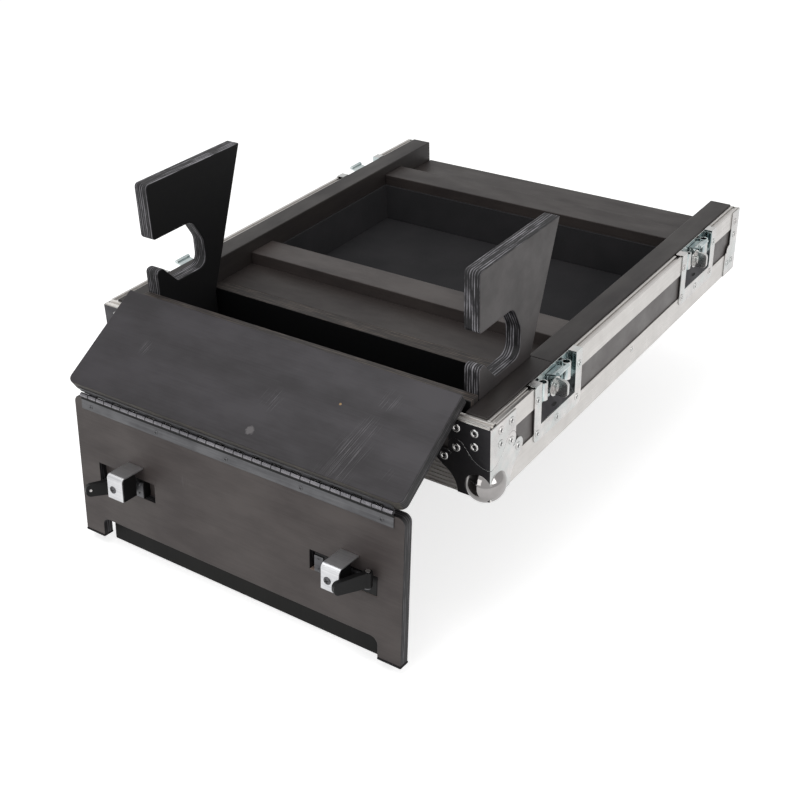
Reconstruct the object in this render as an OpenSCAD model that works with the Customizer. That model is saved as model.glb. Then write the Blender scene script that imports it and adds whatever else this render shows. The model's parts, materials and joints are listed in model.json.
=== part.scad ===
// Mixer flight case: base tray with its cable compartment opened.
// Millimetres. X runs across the tray, Y from the near wall to the far end, Z up.
// The origin is the centre of the tray's underside.

/* [Tray] */
// Width of the tray over its extrusions
tray_w = 510; // [480:1:560]
// Length of the tray over its extrusions
tray_l = 625; // [600:1:680]
// Height of the side walls' outer ridge
tray_h = 85.5; // [80:0.5:95]
// Thickness of the wall plywood
ply_t = 7; // [6:0.5:9]
// Thickness of the aluminium extrusions
skin_t = 1.7; // [1.2:0.1:2]
// Thickness of the base board
base_t = 9; // [8:0.5:12]
// Depth of the top extrusion on the wall's faces
top_leg = 23.6; // [20:0.1:26]
// Width of the locating ridges of the top extrusion
ridge_w = 3; // [2:0.1:4]
// Depth of the groove between the ridges
groove_d = 2.6; // [1.5:0.1:4]
// Height of the bottom angle's standing leg
angle_h = 30.6; // [26:0.2:34]
// Width of the bottom angle's lying leg
angle_w = 25; // [20:1:30]
// Number of ribs on the near bottom angle
rib_count = 6; // [4:1:7]

/* [Wooden rails and beams] */
// Width of the long side rails
rail_w = 27.2; // [24:0.2:32]
// Width of the short near rails
near_rail_w = 24.4; // [20:0.2:24.6]
// Height of the rails' tops
rail_top = 87.5; // [85:0.5:98]
// Distance of the seam between the rails from the near wall's face
seam_y = 139.5; // [138.6:0.1:150]
// Distance of the divider from the near wall's face
divider_y = 137; // [130:0.5:138]
// Distance of the mid beam from the near wall's face
beam_y = 213.4; // [200:0.2:230]
// Width of the mid beam
beam_w = 41.4; // [30:0.2:50]
// Height of the mid beam's top
beam_top = 73; // [66:0.5:80]
// Distance of the far batten's back from the far end
ledge_l = 78.3; // [60:0.1:90]
// Width of the far batten
batten_w = 39.2; // [30:0.2:45]
// Height of the far batten's top
batten_top = 76; // [66:0.5:80]
// Height of the deck and the divider
deck_top = 58; // [50:0.5:62]
// Height of the far ledge
ledge_top = 60; // [50:0.5:64]
// Thickness of the deck and ledge boards
board_t = 9; // [6:0.5:12]
// Thickness of the divider
divider_t = 18; // [12:0.5:20]
// Thickness of the foam sheets
foam_t = 3; // [2:0.5:6]
// Height of the foam on the well's sides above the base board
side_foam_h = 50; // [30:1:52]

/* [Cable hooks] */
// Thickness of the hook plates
hook_t = 18; // [12:0.5:20]
// Height of the hooks' tops
hook_top = 224.2; // [218:0.1:224.3]
// Distance of the hooks' front edges from the near wall's face
hook_y = 36.5; // [36:0.1:40]
// Length of the hooks' top edges
hook_len = 156.5; // [140:0.5:160]
// Height of the mouth's floor
mouth_floor = 98.5; // [95:0.5:110]
// Height of the jaw's underside at its front
mouth_top = 159; // [140:0.5:170]
// Depth of the mouth behind the front edge
mouth_d = 80.5; // [60:0.5:85]
// Height of the nub at the mouth's front above its floor
nub_h = 23.5; // [16:0.5:28]
// Gap between the hooks' heels and the divider
heel_gap = 9; // [1:0.5:12]
// Rounding of the hooks' corners
hook_r = 5; // [2:0.5:7]

/* [Cover flaps] */
// Distance of the hinge board from the near wall's face
board_y = 20; // [18:0.1:20.5]
// Thickness of the hinge board
board_w = 15; // [12:0.5:15.5]
// Height of the hinge board
board_top = 93.8; // [92:0.1:94]
// Gap between the flaps' ends and the short rails
flap_side = 1.2; // [1:0.1:8]
// Length of the upper flap
upper_len = 126; // [124:0.2:127]
// Thickness of the upper flap
upper_t = 15; // [12:0.5:15]
// Slope of the upper flap as it rests on the near wall
rest_slope = 30.25; // [29:0.05:30.3]
// Length of the lower flap without its feet
lower_len = 172; // [165:0.5:180]
// Thickness of the lower flap
lower_t = 13; // [10:0.5:13.5]
// Tilt of the lower flap away from plumb
lower_tilt = 5.1; // [0:0.1:8]
// Rounding of the flaps' corners
flap_r = 8; // [2:0.5:12]
// Width of the legs beside the notch
leg_w = 28.5; // [20:0.5:40]
// Depth of the notch
notch_d = 23; // [10:0.5:30]
// Rounding of the notch's upper corners
notch_r = 9; // [2:0.5:10]
// Thickness of the rubber feet
foot_t = 2.6; // [1:0.1:5]
// Thickness of the rubber curtain
curtain_t = 2; // [1:0.1:3]
// Overlap of the curtain on the panel above the notch
curtain_lap = 12; // [8:1:20]
// Reach of the curtain below the notch's edge
curtain_drop = 32; // [16:0.5:34]

/* [Hinges] */
// Distance of the hinges' ends from the flaps' ends
hinge_side = 12; // [9:0.5:24]
// Number of knuckles of the piano hinge
knuckles = 34; // [16:2:38]
// Number of knuckles of the board hinge
board_knuckles = 18; // [10:2:22]
// Radius of the hinge barrels
barrel_r = 2.5; // [2.2:0.1:2.7]
// Radius of the hinge pins
pin_r = 1.25; // [1:0.05:1.5]
// Radial clearance of the pins
pin_gap = 0.06; // [0.03:0.01:0.1]
// Gap between neighbouring knuckles
knuckle_gap = 0.4; // [0.3:0.05:1]
// Thickness of the hinge leaves
leaf_t = 1; // [0.8:0.1:1.2]
// Width of the leaves on the board and on the upper flap's underside
leaf_w = 14; // [10:0.5:15]
// Width of the piano hinge's upper leaf from its pin
upper_leaf_w = 10; // [8:0.5:12]
// Width of the piano hinge's lower leaf from its pin
lower_leaf_w = 17; // [12:0.5:18]
// Gap between the board's top and the upright flap
flap_gap = 1.2; // [1:0.1:2]
// Distance of the piano hinge's pin from the upper flap's end
end_reach = 3.4; // [2.8:0.1:3.5]
// Distance of the piano hinge's pin in front of the lower flap's face
face_reach = 0.7; // [0.5:0.1:1.4]
// Distance from the piano hinge's pin down to the lower flap's top edge
top_reach = 4.2; // [3.6:0.1:5]

/* [Flap latches] */
// Width of the latch recess in the lower flap
recess_w = 83; // [80:0.5:90]
// Height of the latch recess
recess_h = 23; // [20:0.5:26]
// Depth of the latch recess
recess_d = 10; // [6:0.5:11]
// Distance of the recess from the flap's side edge
recess_side = 30; // [28:0.5:36]
// Distance of the recess below the piano hinge's pin
recess_drop = 80.5; // [76:0.5:84]
// Width of the latch bracket
bracket_w = 22; // [18:0.5:24]
// Depth of the latch bracket in front of the flap
bracket_d = 33; // [30:0.5:36]
// Height of the latch bracket
bracket_h = 28.5; // [26:0.5:30]
// Thickness of the bracket's sheet
bracket_t = 2; // [1.5:0.1:2.5]
// Distance of the brackets below the piano hinge's pin
bracket_drop = 63.8; // [62:0.1:66]
// Radius of the bracket's bend
bend_r = 5; // [3:0.5:6]
// Distance of the left bracket from its recess's outer end
left_bracket_in = 46.5; // [44:0.5:50]
// Distance of the right bracket from its recess's outer end
right_bracket_in = 22; // [21.5:0.5:30]
// Distance of the left latch plate from its recess's inner end
left_plate_in = 16; // [8:0.5:18]
// Distance of the right latch plate from its recess's inner end
right_plate_in = 7; // [4:0.5:17]
// Width of the latch plates
plate_w = 11; // [8:0.5:11]
// Distance of the left lever's pin beyond its bracket's side
left_pivot_side = 6; // [5.5:0.5:17]
// Distance of the right lever's pin beyond its bracket's side
right_pivot_side = 17; // [12:0.5:18]
// How far the left lever's pivot plate starts inside its bracket's side
left_leaf_in = 0.5; // [0.5:0.5:3]
// How far the right lever's pivot plate starts inside its bracket's side
right_leaf_in = 8.5; // [0.5:0.5:10]
// Distance of the lever pins in front of the flap
pivot_front = 9; // [8:0.5:11]
// Distance from the left bracket's top down to its lever's top
left_lever_drop = 18; // [6:0.5:20]
// Distance from the right bracket's top down to its lever's top
right_lever_drop = 7; // [6:0.5:20]
// Length of the levers from pin to tip
lever_len = 38; // [30:0.5:40]
// Thickness of the levers
lever_t = 6; // [5:0.5:7]
// Height of the levers at their pins
lever_h = 17; // [14:0.5:19]
// Height of the levers at their tips
tip_h = 14.5; // [11:0.5:18]
// Angle of the left lever out from straight ahead
left_lever_out = 33; // [0:1:60]
// Angle of the right lever in from straight ahead
right_lever_in = 26; // [0:1:27]
// Radius of the lever pins
lever_pin_r = 2; // [1.5:0.1:2.5]

/* [Wall latches] */
// Length of the latch dish along the wall
dish_w = 102; // [96:0.5:106]
// Height of the dish's lower edge
dish_low = 20; // [14:0.5:24]
// Length of the dish's recess
bay_w = 74; // [68:0.5:78]
// Height of the recess's lower edge
bay_low = 38; // [34:0.5:42]
// Height of the recess's slanted floor
bay_rise = 12; // [6:0.5:14]
// Depth of the recess behind the wall's face
bay_d = 9; // [8:0.1:9]
// Thickness of the dish's sheet
dish_t = 1.2; // [1:0.1:1.2]
// Distance of the near latches' centres from the near wall's face
near_latch_y = 136; // [130:1:140]
// Distance of the far latches' centres from the far end
far_latch_in = 128; // [120:1:140]
// Height of the latch spindle
spindle_z = 63; // [60:0.5:64]
// Radius of the latch spindle
spindle_r = 2.5; // [2:0.1:3]
// Radius of the turning wing's disc
wing_r = 11; // [8:0.5:11.5]
// Reach of the wing's grip in front of the wall
grip_out = 12; // [6:0.5:14]
// Half height of the wing's grip
grip_h = 9.5; // [6:0.5:10]
// Thickness of the wing's grip
grip_t = 4; // [2:0.5:6]
// Travel of the hook plate
hook_travel = 5; // [3:0.5:5]
// Width of the hook plate's lip
lip_w = 22; // [16:0.5:26]
// Radius of the hook plate's rolled lip
lip_r = 2.3; // [1.5:0.1:3]
// Height of the rolled lip's centre
lip_z = 84.5; // [82:0.5:88]
// Reach of the rolled lip's centre in front of the wall
lip_out = 5; // [3:0.5:8]
// Radius of the dish's rolled eyes
eye_r = 5.2; // [4:0.1:5.4]
// Distance between the rolled eyes
eye_pitch = 50; // [46:0.5:54]
// Height of the rolled eyes' tops
eye_top = 80; // [76:0.5:84]
// Length of the rolled eyes
eye_len = 20; // [16:0.5:22]

/* [Corner plates and rivets] */
// Thickness of the corner plates
plate_t = 1.3; // [1:0.1:1.6]
// Length of the near braces along each face
brace_l = 47; // [44:0.5:50]
// Height of the brace's lower edge at the corner
brace_low = 37; // [34:0.5:38]
// Radius of the hollow in the brace's lower corner
brace_cut_r = 20; // [14:0.5:22]
// Distance of the brace's top below the ridge
brace_drop = 2; // [0.5:0.5:4]
// Distance of the ball plate's outer lobes from the corner
lobe_u = 52; // [50:0.5:54]
// Height of the ball plate's outer lobes
lobe_z = 37.8; // [36:0.2:40]
// Radius of the ball plate's lobes
lobe_r = 9.6; // [8:0.2:11]
// Width and height of the ball plate at the corner
ball_leaf_w = 36.6; // [34:0.2:38]
// Radius of the hollows beside the ball plate's waist
waist_r = 29; // [26:0.5:32]
// Radius of the corner balls
ball_r = 21; // [18:0.5:22]
// Distance of the balls' centres behind the faces of the corner
ball_in = 12.5; // [10:0.5:13]
// Width of the far corner plates
far_plate_w = 22; // [18:0.5:26]
// Radius of the rivet heads
rivet_r = 3.8; // [2.6:0.1:4.2]
// Height of the rivet heads
rivet_h = 1; // [0.6:0.1:1.4]

/* [Hidden] */
$fn = 48;

// Small running gap between pieces of different bodies
run_gap = 0.4;
// Gap between a foam sheet or insert and the wood round it
fit_gap = 0.2;
wall_t = ply_t + 2 * skin_t;
half_w = tray_w / 2;
rail_in = half_w - wall_t - rail_w;
near_rail_in = half_w - wall_t - near_rail_w;
groove_z = tray_h - groove_d;
wall_top = groove_z - skin_t;
batten_back = tray_l - ledge_l;
batten_y = batten_back - batten_w;
far_latch_y = tray_l - far_latch_in;
well_y0 = beam_y + beam_w;
cleat_w = 18;
cleat_h = 20;

// Width of both flaps and length of their hinges
flap_w = 2 * (near_rail_in - flap_side);
hinge_l = flap_w - 2 * hinge_side;

// Axis of the board hinge, from the flap's slope and the ridge that it rests on
axis_y = board_y - barrel_r;
axis_z = tray_h + run_gap + axis_y * tan(rest_slope) - barrel_r / cos(rest_slope);
// Piano hinge pin in the upper flap's own frame
piano_y = -(flap_gap + upper_len + end_reach);
piano_z = 0;
// Lower flap in its own frame: the pin is the origin, the face points to -Y
face_y = face_reach;
flap_top_z = -top_reach;
flap_low_z = flap_top_z - lower_len;
notch_z = flap_low_z + notch_d;
recess_x = flap_w / 2 - recess_side;
left_bracket_x = recess_x - left_bracket_in;
right_bracket_x = recess_x - right_bracket_in;

INK = [0.2, 0.19, 0.19];
WOOD = [0.27, 0.25, 0.24];
PLY = [0.4, 0.32, 0.25];
ALU = [0.78, 0.77, 0.75];
ZINC = [0.72, 0.76, 0.76];
RUBBER = [0.07, 0.07, 0.07];
FOAM = [0.13, 0.13, 0.14];

// Places its children with Y measured from the near wall's outer face
module tray_frame() {
    translate([0, -tray_l / 2, 0]) children();
}

// Repeats its children on the other side of the tray
module both_sides() {
    children();
    mirror([1, 0, 0]) children();
}

// Box given by its two corners
module span(low, high) {
    translate(low) cube(high - low);
}

// Frame of the upper flap: the hinge axis is X, the flap runs towards -Y
module upper_frame() {
    tray_frame()
        translate([0, axis_y, axis_z])
        rotate([rest_slope, 0, 0])
        children();
}

// Frame of the lower flap: the piano hinge's pin is X, the flap hangs towards -Z
module lower_frame() {
    upper_frame()
        translate([0, piano_y, piano_z])
        rotate([-rest_slope - lower_tilt, 0, 0])
        children();
}

// Lays a drawing of (x, z) on the lower flap's face, grown by t towards the back
module on_face(t) {
    translate([0, face_y + t, 0]) rotate([90, 0, 0]) linear_extrude(t) children();
}

// Base board: rebated above for the walls and below for the angles' lying legs
module base_board() {
    w = half_w - skin_t - ply_t;
    color(INK) tray_frame() {
        span([-w, wall_t - skin_t, skin_t], [w, tray_l - wall_t + skin_t, base_t]);
        span([-half_w + angle_w, angle_w, 0], [half_w - angle_w, tray_l - angle_w, base_t - 1]);
    }
}

// Side wall's plywood at +X with the openings for the latch dishes
module side_wall() {
    difference() {
        span([half_w - skin_t - ply_t, skin_t, skin_t], [half_w - skin_t, tray_l - skin_t, wall_top]);
        for (y = [near_latch_y, far_latch_y]) {
            translate([half_w - ply_t / 2 - skin_t, y, bay_low + tray_h / 2])
                cube([ply_t + 2, bay_w + 2 * dish_t + 2 * fit_gap, tray_h + 2 * dish_t + 2 * fit_gap],
                    center = true);
        }
    }
}

module left_wall() {
    color(INK) tray_frame() mirror([1, 0, 0]) side_wall();
}

module right_wall() {
    color(INK) tray_frame() side_wall();
}

module near_wall() {
    w = half_w - skin_t - ply_t;
    color(INK) tray_frame() span([-w, skin_t, skin_t], [w, skin_t + ply_t, wall_top]);
}

module far_wall() {
    w = rail_in;
    color(INK) tray_frame()
        span([-w, tray_l - skin_t - ply_t, skin_t], [w, tray_l - skin_t, ledge_top - board_t]);
}

// Section of the top extrusion: outer face at x = 0, wall towards +x
module top_section() {
    polygon([
        [0, tray_h - top_leg], [skin_t, tray_h - top_leg], [skin_t, wall_top],
        [wall_t - skin_t, wall_top], [wall_t - skin_t, tray_h - top_leg], [wall_t, tray_h - top_leg],
        [wall_t, tray_h], [wall_t - ridge_w, tray_h], [wall_t - ridge_w - 0.8, groove_z],
        [ridge_w + 0.8, groove_z], [ridge_w, tray_h], [0, tray_h]]);
}

// Top extrusion of the +X wall, parted where the latch dishes break it
module side_top_extrusion() {
    difference() {
        translate([half_w, tray_l - plate_t, 0]) rotate([90, 0, 0]) mirror([1, 0, 0])
            linear_extrude(tray_l - 2 * plate_t) top_section();
        for (y = [near_latch_y, far_latch_y]) {
            translate([half_w - wall_t / 2, y, tray_h])
                cube([wall_t + 1, dish_w + 2 * fit_gap, 3 * top_leg], center = true);
        }
        // the near wall's extrusion runs through at the corner
        span([half_w - wall_t - 1, -1, 0], [half_w + 1, wall_t + fit_gap, tray_h + 1]);
    }
}

module left_top_extrusion() {
    color(ALU) tray_frame() mirror([1, 0, 0]) side_top_extrusion();
}

module right_top_extrusion() {
    color(ALU) tray_frame() side_top_extrusion();
}

module near_top_extrusion() {
    color(ALU) tray_frame() difference() {
        translate([-half_w + plate_t, 0, 0]) rotate([90, 0, 90])
            linear_extrude(tray_w - 2 * plate_t) top_section();
        // room for the side walls' plywood
        for (s = [-1, 1]) {
            translate([s * (half_w - skin_t - ply_t / 2), wall_t / 2 + skin_t, wall_top / 2])
                cube([ply_t + 2 * fit_gap, wall_t, wall_top], center = true);
        }
    }
}

// Section of a bottom angle: outer face at x = 0, underside at y = 0
module angle_section() {
    square([skin_t, angle_h]);
    square([angle_w, skin_t]);
}

// Section of the ribbed angle, with its ribs inside the same outer face
module ribbed_section() {
    pitch = angle_h / (2 * rib_count + 1);
    difference() {
        angle_section();
        for (i = [0 : rib_count - 1]) {
            translate([-skin_t / 2, pitch * (2 * i + 1)]) square([skin_t, pitch]);
        }
    }
}

// Bottom angle of the +X side, mitred against the near and far ones
module side_bottom_angle() {
    difference() {
        translate([half_w, tray_l, 0]) rotate([90, 0, 0]) mirror([1, 0, 0])
            linear_extrude(tray_l) angle_section();
        mitre_cut(0, 1);
        mitre_cut(tray_l, -1);
    }
}

// Wedge beyond the mitre of the +X side at one end
module mitre_cut(y, s) {
    m = 2 * angle_w;
    translate([half_w, y, -1]) linear_extrude(angle_h + 2)
        polygon([[1, -s], [1, s * fit_gap / 2 - s], [-m, s * (m + fit_gap / 2)], [-m, -s]]);
}

// Wedge beyond the mitre of an end angle at its +X end
module end_mitre_cut(y, s) {
    m = 2 * angle_w;
    translate([half_w, y, -1]) linear_extrude(angle_h + 2)
        polygon([[1, -s], [1, s * m], [-m, s * m], [0, 0]]);
}

module left_bottom_angle() {
    color(ALU) tray_frame() mirror([1, 0, 0]) side_bottom_angle();
}

module right_bottom_angle() {
    color(ALU) tray_frame() side_bottom_angle();
}

module near_bottom_angle() {
    color(ALU) tray_frame() difference() {
        translate([-half_w, 0, 0]) rotate([90, 0, 90]) linear_extrude(tray_w) ribbed_section();
        both_sides() end_mitre_cut(0, 1);
    }
}

module far_bottom_angle() {
    color(ALU) tray_frame() difference() {
        translate([half_w, tray_l, 0]) rotate([90, 0, -90]) linear_extrude(tray_w) angle_section();
        both_sides() end_mitre_cut(tray_l, -1);
    }
}

// Long rail of the +X side, from the seam to the far end
module long_rail() {
    span([rail_in, seam_y, base_t], [half_w - wall_t, tray_l - skin_t, rail_top]);
}

module left_rail() {
    color(WOOD) tray_frame() mirror([1, 0, 0]) long_rail();
}

module right_rail() {
    color(WOOD) tray_frame() long_rail();
}

// Short rail of the +X side, between the near wall and the seam
module short_rail() {
    span([near_rail_in, wall_t, base_t], [half_w - wall_t, seam_y, rail_top]);
}

module left_near_rail() {
    color(WOOD) tray_frame() mirror([1, 0, 0]) short_rail();
}

module right_near_rail() {
    color(WOOD) tray_frame() short_rail();
}

module mid_beam() {
    color(WOOD) tray_frame() span([-rail_in, beam_y, base_t], [rail_in, beam_y + beam_w, beam_top]);
}

module far_batten() {
    color(WOOD) tray_frame() span([-rail_in, batten_y, base_t], [rail_in, batten_back, batten_top]);
}

module deck() {
    color(WOOD) tray_frame()
        span([-rail_in, divider_y + divider_t, deck_top - board_t], [rail_in, beam_y, deck_top]);
}

module far_ledge() {
    color(WOOD) tray_frame()
        span([-rail_in, batten_back, ledge_top - board_t], [rail_in, tray_l, ledge_top]);
}

module board_cleats() {
    color(PLY) tray_frame() {
        for (y = [divider_y + divider_t, beam_y - cleat_w]) {
            span([-rail_in, y, deck_top - board_t - cleat_h], [rail_in, y + cleat_w, deck_top - board_t]);
        }
        for (y = [batten_back, tray_l - skin_t - ply_t - cleat_w]) {
            span([-rail_in, y, ledge_top - board_t - cleat_h], [rail_in, y + cleat_w, ledge_top - board_t]);
        }
    }
}

module divider() {
    color(WOOD) tray_frame() difference() {
        span([-near_rail_in, divider_y, base_t], [near_rail_in, divider_y + divider_t, deck_top]);
        // the long rails reach further in than the short ones
        for (s = [-1, 1]) {
            translate([s * (rail_in + rail_w / 2), seam_y + divider_t, deck_top / 2])
                cube([rail_w, 2 * divider_t, deck_top + 1], center = true);
        }
    }
}

module well_floor_foam() {
    color(FOAM) tray_frame()
        span([-rail_in, well_y0, base_t], [rail_in, batten_y, base_t + foam_t]);
}

module well_side_foam() {
    low = base_t + foam_t;
    color(FOAM) tray_frame() {
        span([-rail_in, well_y0, low], [rail_in, well_y0 + foam_t, low + side_foam_h]);
        span([-rail_in, batten_y - foam_t, low], [rail_in, batten_y, low + side_foam_h]);
        both_sides()
            span([rail_in - foam_t, well_y0 + foam_t, low],
                [rail_in, batten_y - foam_t, low + side_foam_h]);
    }
}

module hinge_board() {
    color(WOOD) tray_frame()
        span([-near_rail_in, board_y, base_t], [near_rail_in, board_y + board_w, board_top]);
}

// Mouth of a cable hook in (y, z): a throat with round ends behind a straight roof and floor
module hook_mouth() {
    m = hook_y + mouth_d;
    gape = mouth_top - mouth_floor;
    difference() {
        hull() {
            translate([hook_y - hook_r, mouth_floor]) square([1, gape]);
            translate([m - 0.3 * mouth_d, mouth_top - 0.23 * gape]) circle(0.23 * gape);
            translate([m - 0.3 * gape, mouth_floor + 0.46 * gape]) circle(0.3 * gape);
            translate([m - 0.2 * gape, mouth_floor + 0.2 * gape]) circle(0.2 * gape);
        }
        polygon([[hook_y - hook_r, mouth_floor - 1], [hook_y - hook_r, mouth_floor + nub_h],
            [hook_y + 0.12 * mouth_d, mouth_floor + nub_h], [hook_y + 0.39 * mouth_d, mouth_floor],
            [hook_y + 0.39 * mouth_d, mouth_floor - 1]]);
    }
}

// Outline of a cable hook in (y, z)
module hook_outline() {
    back = hook_y + hook_len;
    foot_y = divider_y - heel_gap;
    corner = 3 * hook_r;
    slant = corner * (back - foot_y) / (hook_top - deck_top);
    offset(r = hook_r) offset(r = -2 * hook_r) offset(r = hook_r) difference() {
        polygon([[hook_y, hook_top], [hook_y, base_t], [foot_y, base_t], [foot_y, deck_top],
            [back, hook_top]]);
        hook_mouth();
    }
    // the upper rear corner stays sharp
    polygon([[back - corner, hook_top], [back - corner - slant, hook_top - corner],
        [back - slant, hook_top - corner], [back, hook_top]]);
}

// Hook plate of the +X side
module hook_plate() {
    difference() {
        translate([near_rail_in - hook_t, 0, 0]) rotate([90, 0, 90])
            linear_extrude(hook_t) hook_outline();
        // the rounded heel is squared off on the base board
        span([0, 0, -1], [half_w, tray_l, base_t]);
    }
}

module left_hook() {
    color(INK) tray_frame() mirror([1, 0, 0]) hook_plate();
}

module right_hook() {
    color(INK) tray_frame() hook_plate();
}

// Carries its children onto the near-right corner's two faces, drawn as (distance, height)
module corner_faces(t) {
    translate([half_w, 0, 0]) rotate([90, 0, 0]) linear_extrude(t)
        mirror([1, 0]) children();
    translate([half_w, 0, 0]) rotate([90, 0, 90]) linear_extrude(t) children();
}

module near_corner_braces() {
    color(ZINC) tray_frame() both_sides() difference() {
        union() {
            corner_faces(plate_t) brace_outline();
            translate([half_w, 0, brace_low]) rotate([0, 0, -90])
                rotate_extrude(angle = 90) square([plate_t, tray_h - brace_drop - brace_low]);
        }
        ball_corner_cut();
    }
}

// Brace on one face: a plate with a hollow lower corner
module brace_outline() {
    difference() {
        translate([0, brace_low]) square([brace_l, tray_h - brace_drop - brace_low]);
        translate([brace_l, brace_low]) circle(brace_cut_r);
    }
}

// Space that the ball corner takes from the brace
module ball_corner_cut() {
    translate([half_w, 0, 0]) rotate([90, 0, 0]) translate([0, 0, -1])
        linear_extrude(plate_t + 3) mirror([1, 0]) offset(delta = fit_gap) ball_leaf();
    translate([half_w, 0, 0]) rotate([90, 0, 90]) translate([0, 0, -1])
        linear_extrude(plate_t + 3) offset(delta = fit_gap) ball_leaf();
    translate([half_w, 0, 0]) cube([8, 8, 2 * ball_leaf_w], center = true);
}

// Leaf of the ball corner on one face: two lobes on a waist with hollow sides
module ball_leaf() {
    difference() {
        union() {
            square([ball_leaf_w, ball_leaf_w]);
            polygon([[0, ball_leaf_w], [lobe_z - 8, lobe_u + 4], [lobe_u + 4, lobe_z - 8],
                [ball_leaf_w, 0]]);
            translate([lobe_z, lobe_u]) circle(lobe_r);
            translate([lobe_u, lobe_z]) circle(lobe_r);
        }
        translate([0, ball_leaf_w + waist_r]) circle(waist_r);
        translate([ball_leaf_w + waist_r, 0]) circle(waist_r);
    }
}

module ball_corners() {
    color(ZINC) tray_frame() both_sides() {
        difference() {
            union() {
                corner_faces(plate_t) ball_leaf();
                translate([half_w, 0, 0]) rotate([0, 0, -90])
                    rotate_extrude(angle = 90) square([plate_t, ball_leaf_w]);
                translate([half_w - ball_in, ball_in, ball_in]) sphere(ball_r);
            }
            // the ball is hollow where the walls and the board are
            span([0, 0, 0], [half_w, half_w, tray_h]);
        }
    }
}

// Flat plate round a far corner, drawn on both faces
module far_corner_plates() {
    h = tray_h - 1;
    color(ZINC) tray_frame() both_sides() translate([half_w, tray_l, 0]) {
        rotate([90, 0, 90]) linear_extrude(plate_t) mirror([1, 0]) far_outline(h);
        translate([0, plate_t, 0]) rotate([90, 0, 0]) linear_extrude(plate_t) mirror([1, 0]) far_outline(h);
        rotate_extrude(angle = 90) square([plate_t, h]);
    }
}

// Outline of a far plate as (distance from the corner, height)
module far_outline(h) {
    square([far_plate_w, h]);
    square([far_plate_w + 11, angle_h + 2]);
    translate([far_plate_w, angle_h + 3]) circle(8);
}

// Rivet head on the +X side, its foot at x = 0
module rivet() {
    rotate([0, 90, 0]) cylinder(rivet_h, rivet_r, rivet_r);
}

// Centres of the rivets on a latch dish, from its own centre and the floor
dish_rivets = [
    [-dish_w / 2 + 7, 30], [-dish_w / 2 + 6, tray_h - 16], [-2, 28],
    [dish_w / 2 - 9, 30], [dish_w / 2 - 6, tray_h - 16]];
brace_rivets = [[17.5, 74.4], [38, 74.4], [17.5, 59]];
ball_rivets = [[lobe_z, lobe_u], [lobe_u, lobe_z]];
far_rivets = [[far_plate_w / 2, 70], [far_plate_w / 2, 52], [far_plate_w + 2, 16], [11, 16]];

module rivets() {
    out = half_w + plate_t;
    color(ZINC) tray_frame() both_sides() {
        for (p = concat(brace_rivets, ball_rivets)) {
            translate([out, p[0], p[1]]) rivet();
            translate([half_w - p[0], -plate_t, p[1]]) rotate([0, 0, -90]) rivet();
        }
        for (p = far_rivets) {
            translate([out, tray_l - p[0], p[1]]) rivet();
        }
        for (y = [near_latch_y, far_latch_y]) {
            for (p = dish_rivets) {
                translate([half_w + dish_t, y + p[0], p[1]]) rivet();
            }
        }
        translate([half_w, tray_l / 2 + 5, angle_h * 0.7]) rivet();
    }
}

// Length of one knuckle with its gap
function pitch_of(n) = hinge_l / n;

// Knuckles and leaf of a hinge whose pin is X; own = 0 or 1 picks every other knuckle
module leaf_knuckles(n, own) {
    p = pitch_of(n);
    for (i = [own : 2 : n - 1]) {
        translate([-hinge_l / 2 + i * p + knuckle_gap / 2, 0, 0]) rotate([0, 90, 0])
            cylinder(p - knuckle_gap, barrel_r, barrel_r);
    }
}

// Slots that leave room for the other leaf's knuckles
module knuckle_slots(n, other) {
    p = pitch_of(n);
    r = barrel_r + run_gap;
    for (i = [other : 2 : n - 1]) {
        translate([-hinge_l / 2 + i * p - knuckle_gap / 2, -r, -r]) cube([p + knuckle_gap, 2 * r, 2 * r]);
    }
}

// Bore of a hinge for its pin
module pin_bore() {
    translate([-hinge_l / 2 - 1, 0, 0]) rotate([0, 90, 0])
        cylinder(hinge_l + 2, pin_r + pin_gap, pin_r + pin_gap);
}

// Hinge pin, as long as the hinge
module hinge_pin() {
    translate([-hinge_l / 2, 0, 0]) rotate([0, 90, 0]) cylinder(hinge_l, pin_r, pin_r);
}

module board_hinge_leaf() {
    color(ZINC) tray_frame() translate([0, axis_y, axis_z]) difference() {
        union() {
            leaf_knuckles(board_knuckles, 0);
            difference() {
                span([-hinge_l / 2, barrel_r - leaf_t, -leaf_w], [hinge_l / 2, barrel_r, 0]);
                knuckle_slots(board_knuckles, 1);
            }
        }
        pin_bore();
    }
}

module board_hinge_pin() {
    color(ZINC) tray_frame() translate([0, axis_y, axis_z]) hinge_pin();
}

module flap_hinge_leaf() {
    color(ZINC) upper_frame() difference() {
        union() {
            leaf_knuckles(board_knuckles, 1);
            difference() {
                span([-hinge_l / 2, -leaf_w, barrel_r - leaf_t], [hinge_l / 2, 0, barrel_r]);
                knuckle_slots(board_knuckles, 0);
            }
        }
        pin_bore();
    }
}

module upper_flap() {
    color(WOOD) upper_frame()
        translate([0, -flap_gap - upper_len, barrel_r])
        linear_extrude(upper_t) {
            translate([-flap_w / 2 + flap_r, 0]) square([flap_w - 2 * flap_r, upper_len]);
            translate([-flap_w / 2, flap_r]) square([flap_w, upper_len - flap_r]);
            for (s = [-1, 1]) {
                translate([s * (flap_w / 2 - flap_r), flap_r]) circle(flap_r);
            }
        }
}

module piano_upper_leaf() {
    color(ZINC) upper_frame() translate([0, piano_y, piano_z]) difference() {
        union() {
            leaf_knuckles(knuckles, 1);
            difference() {
                span([-hinge_l / 2, end_reach - leaf_t, 0], [hinge_l / 2, end_reach, upper_leaf_w]);
                knuckle_slots(knuckles, 0);
            }
            leaf_necks(knuckles, 1, end_reach);
        }
        pin_bore();
    }
}

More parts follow.
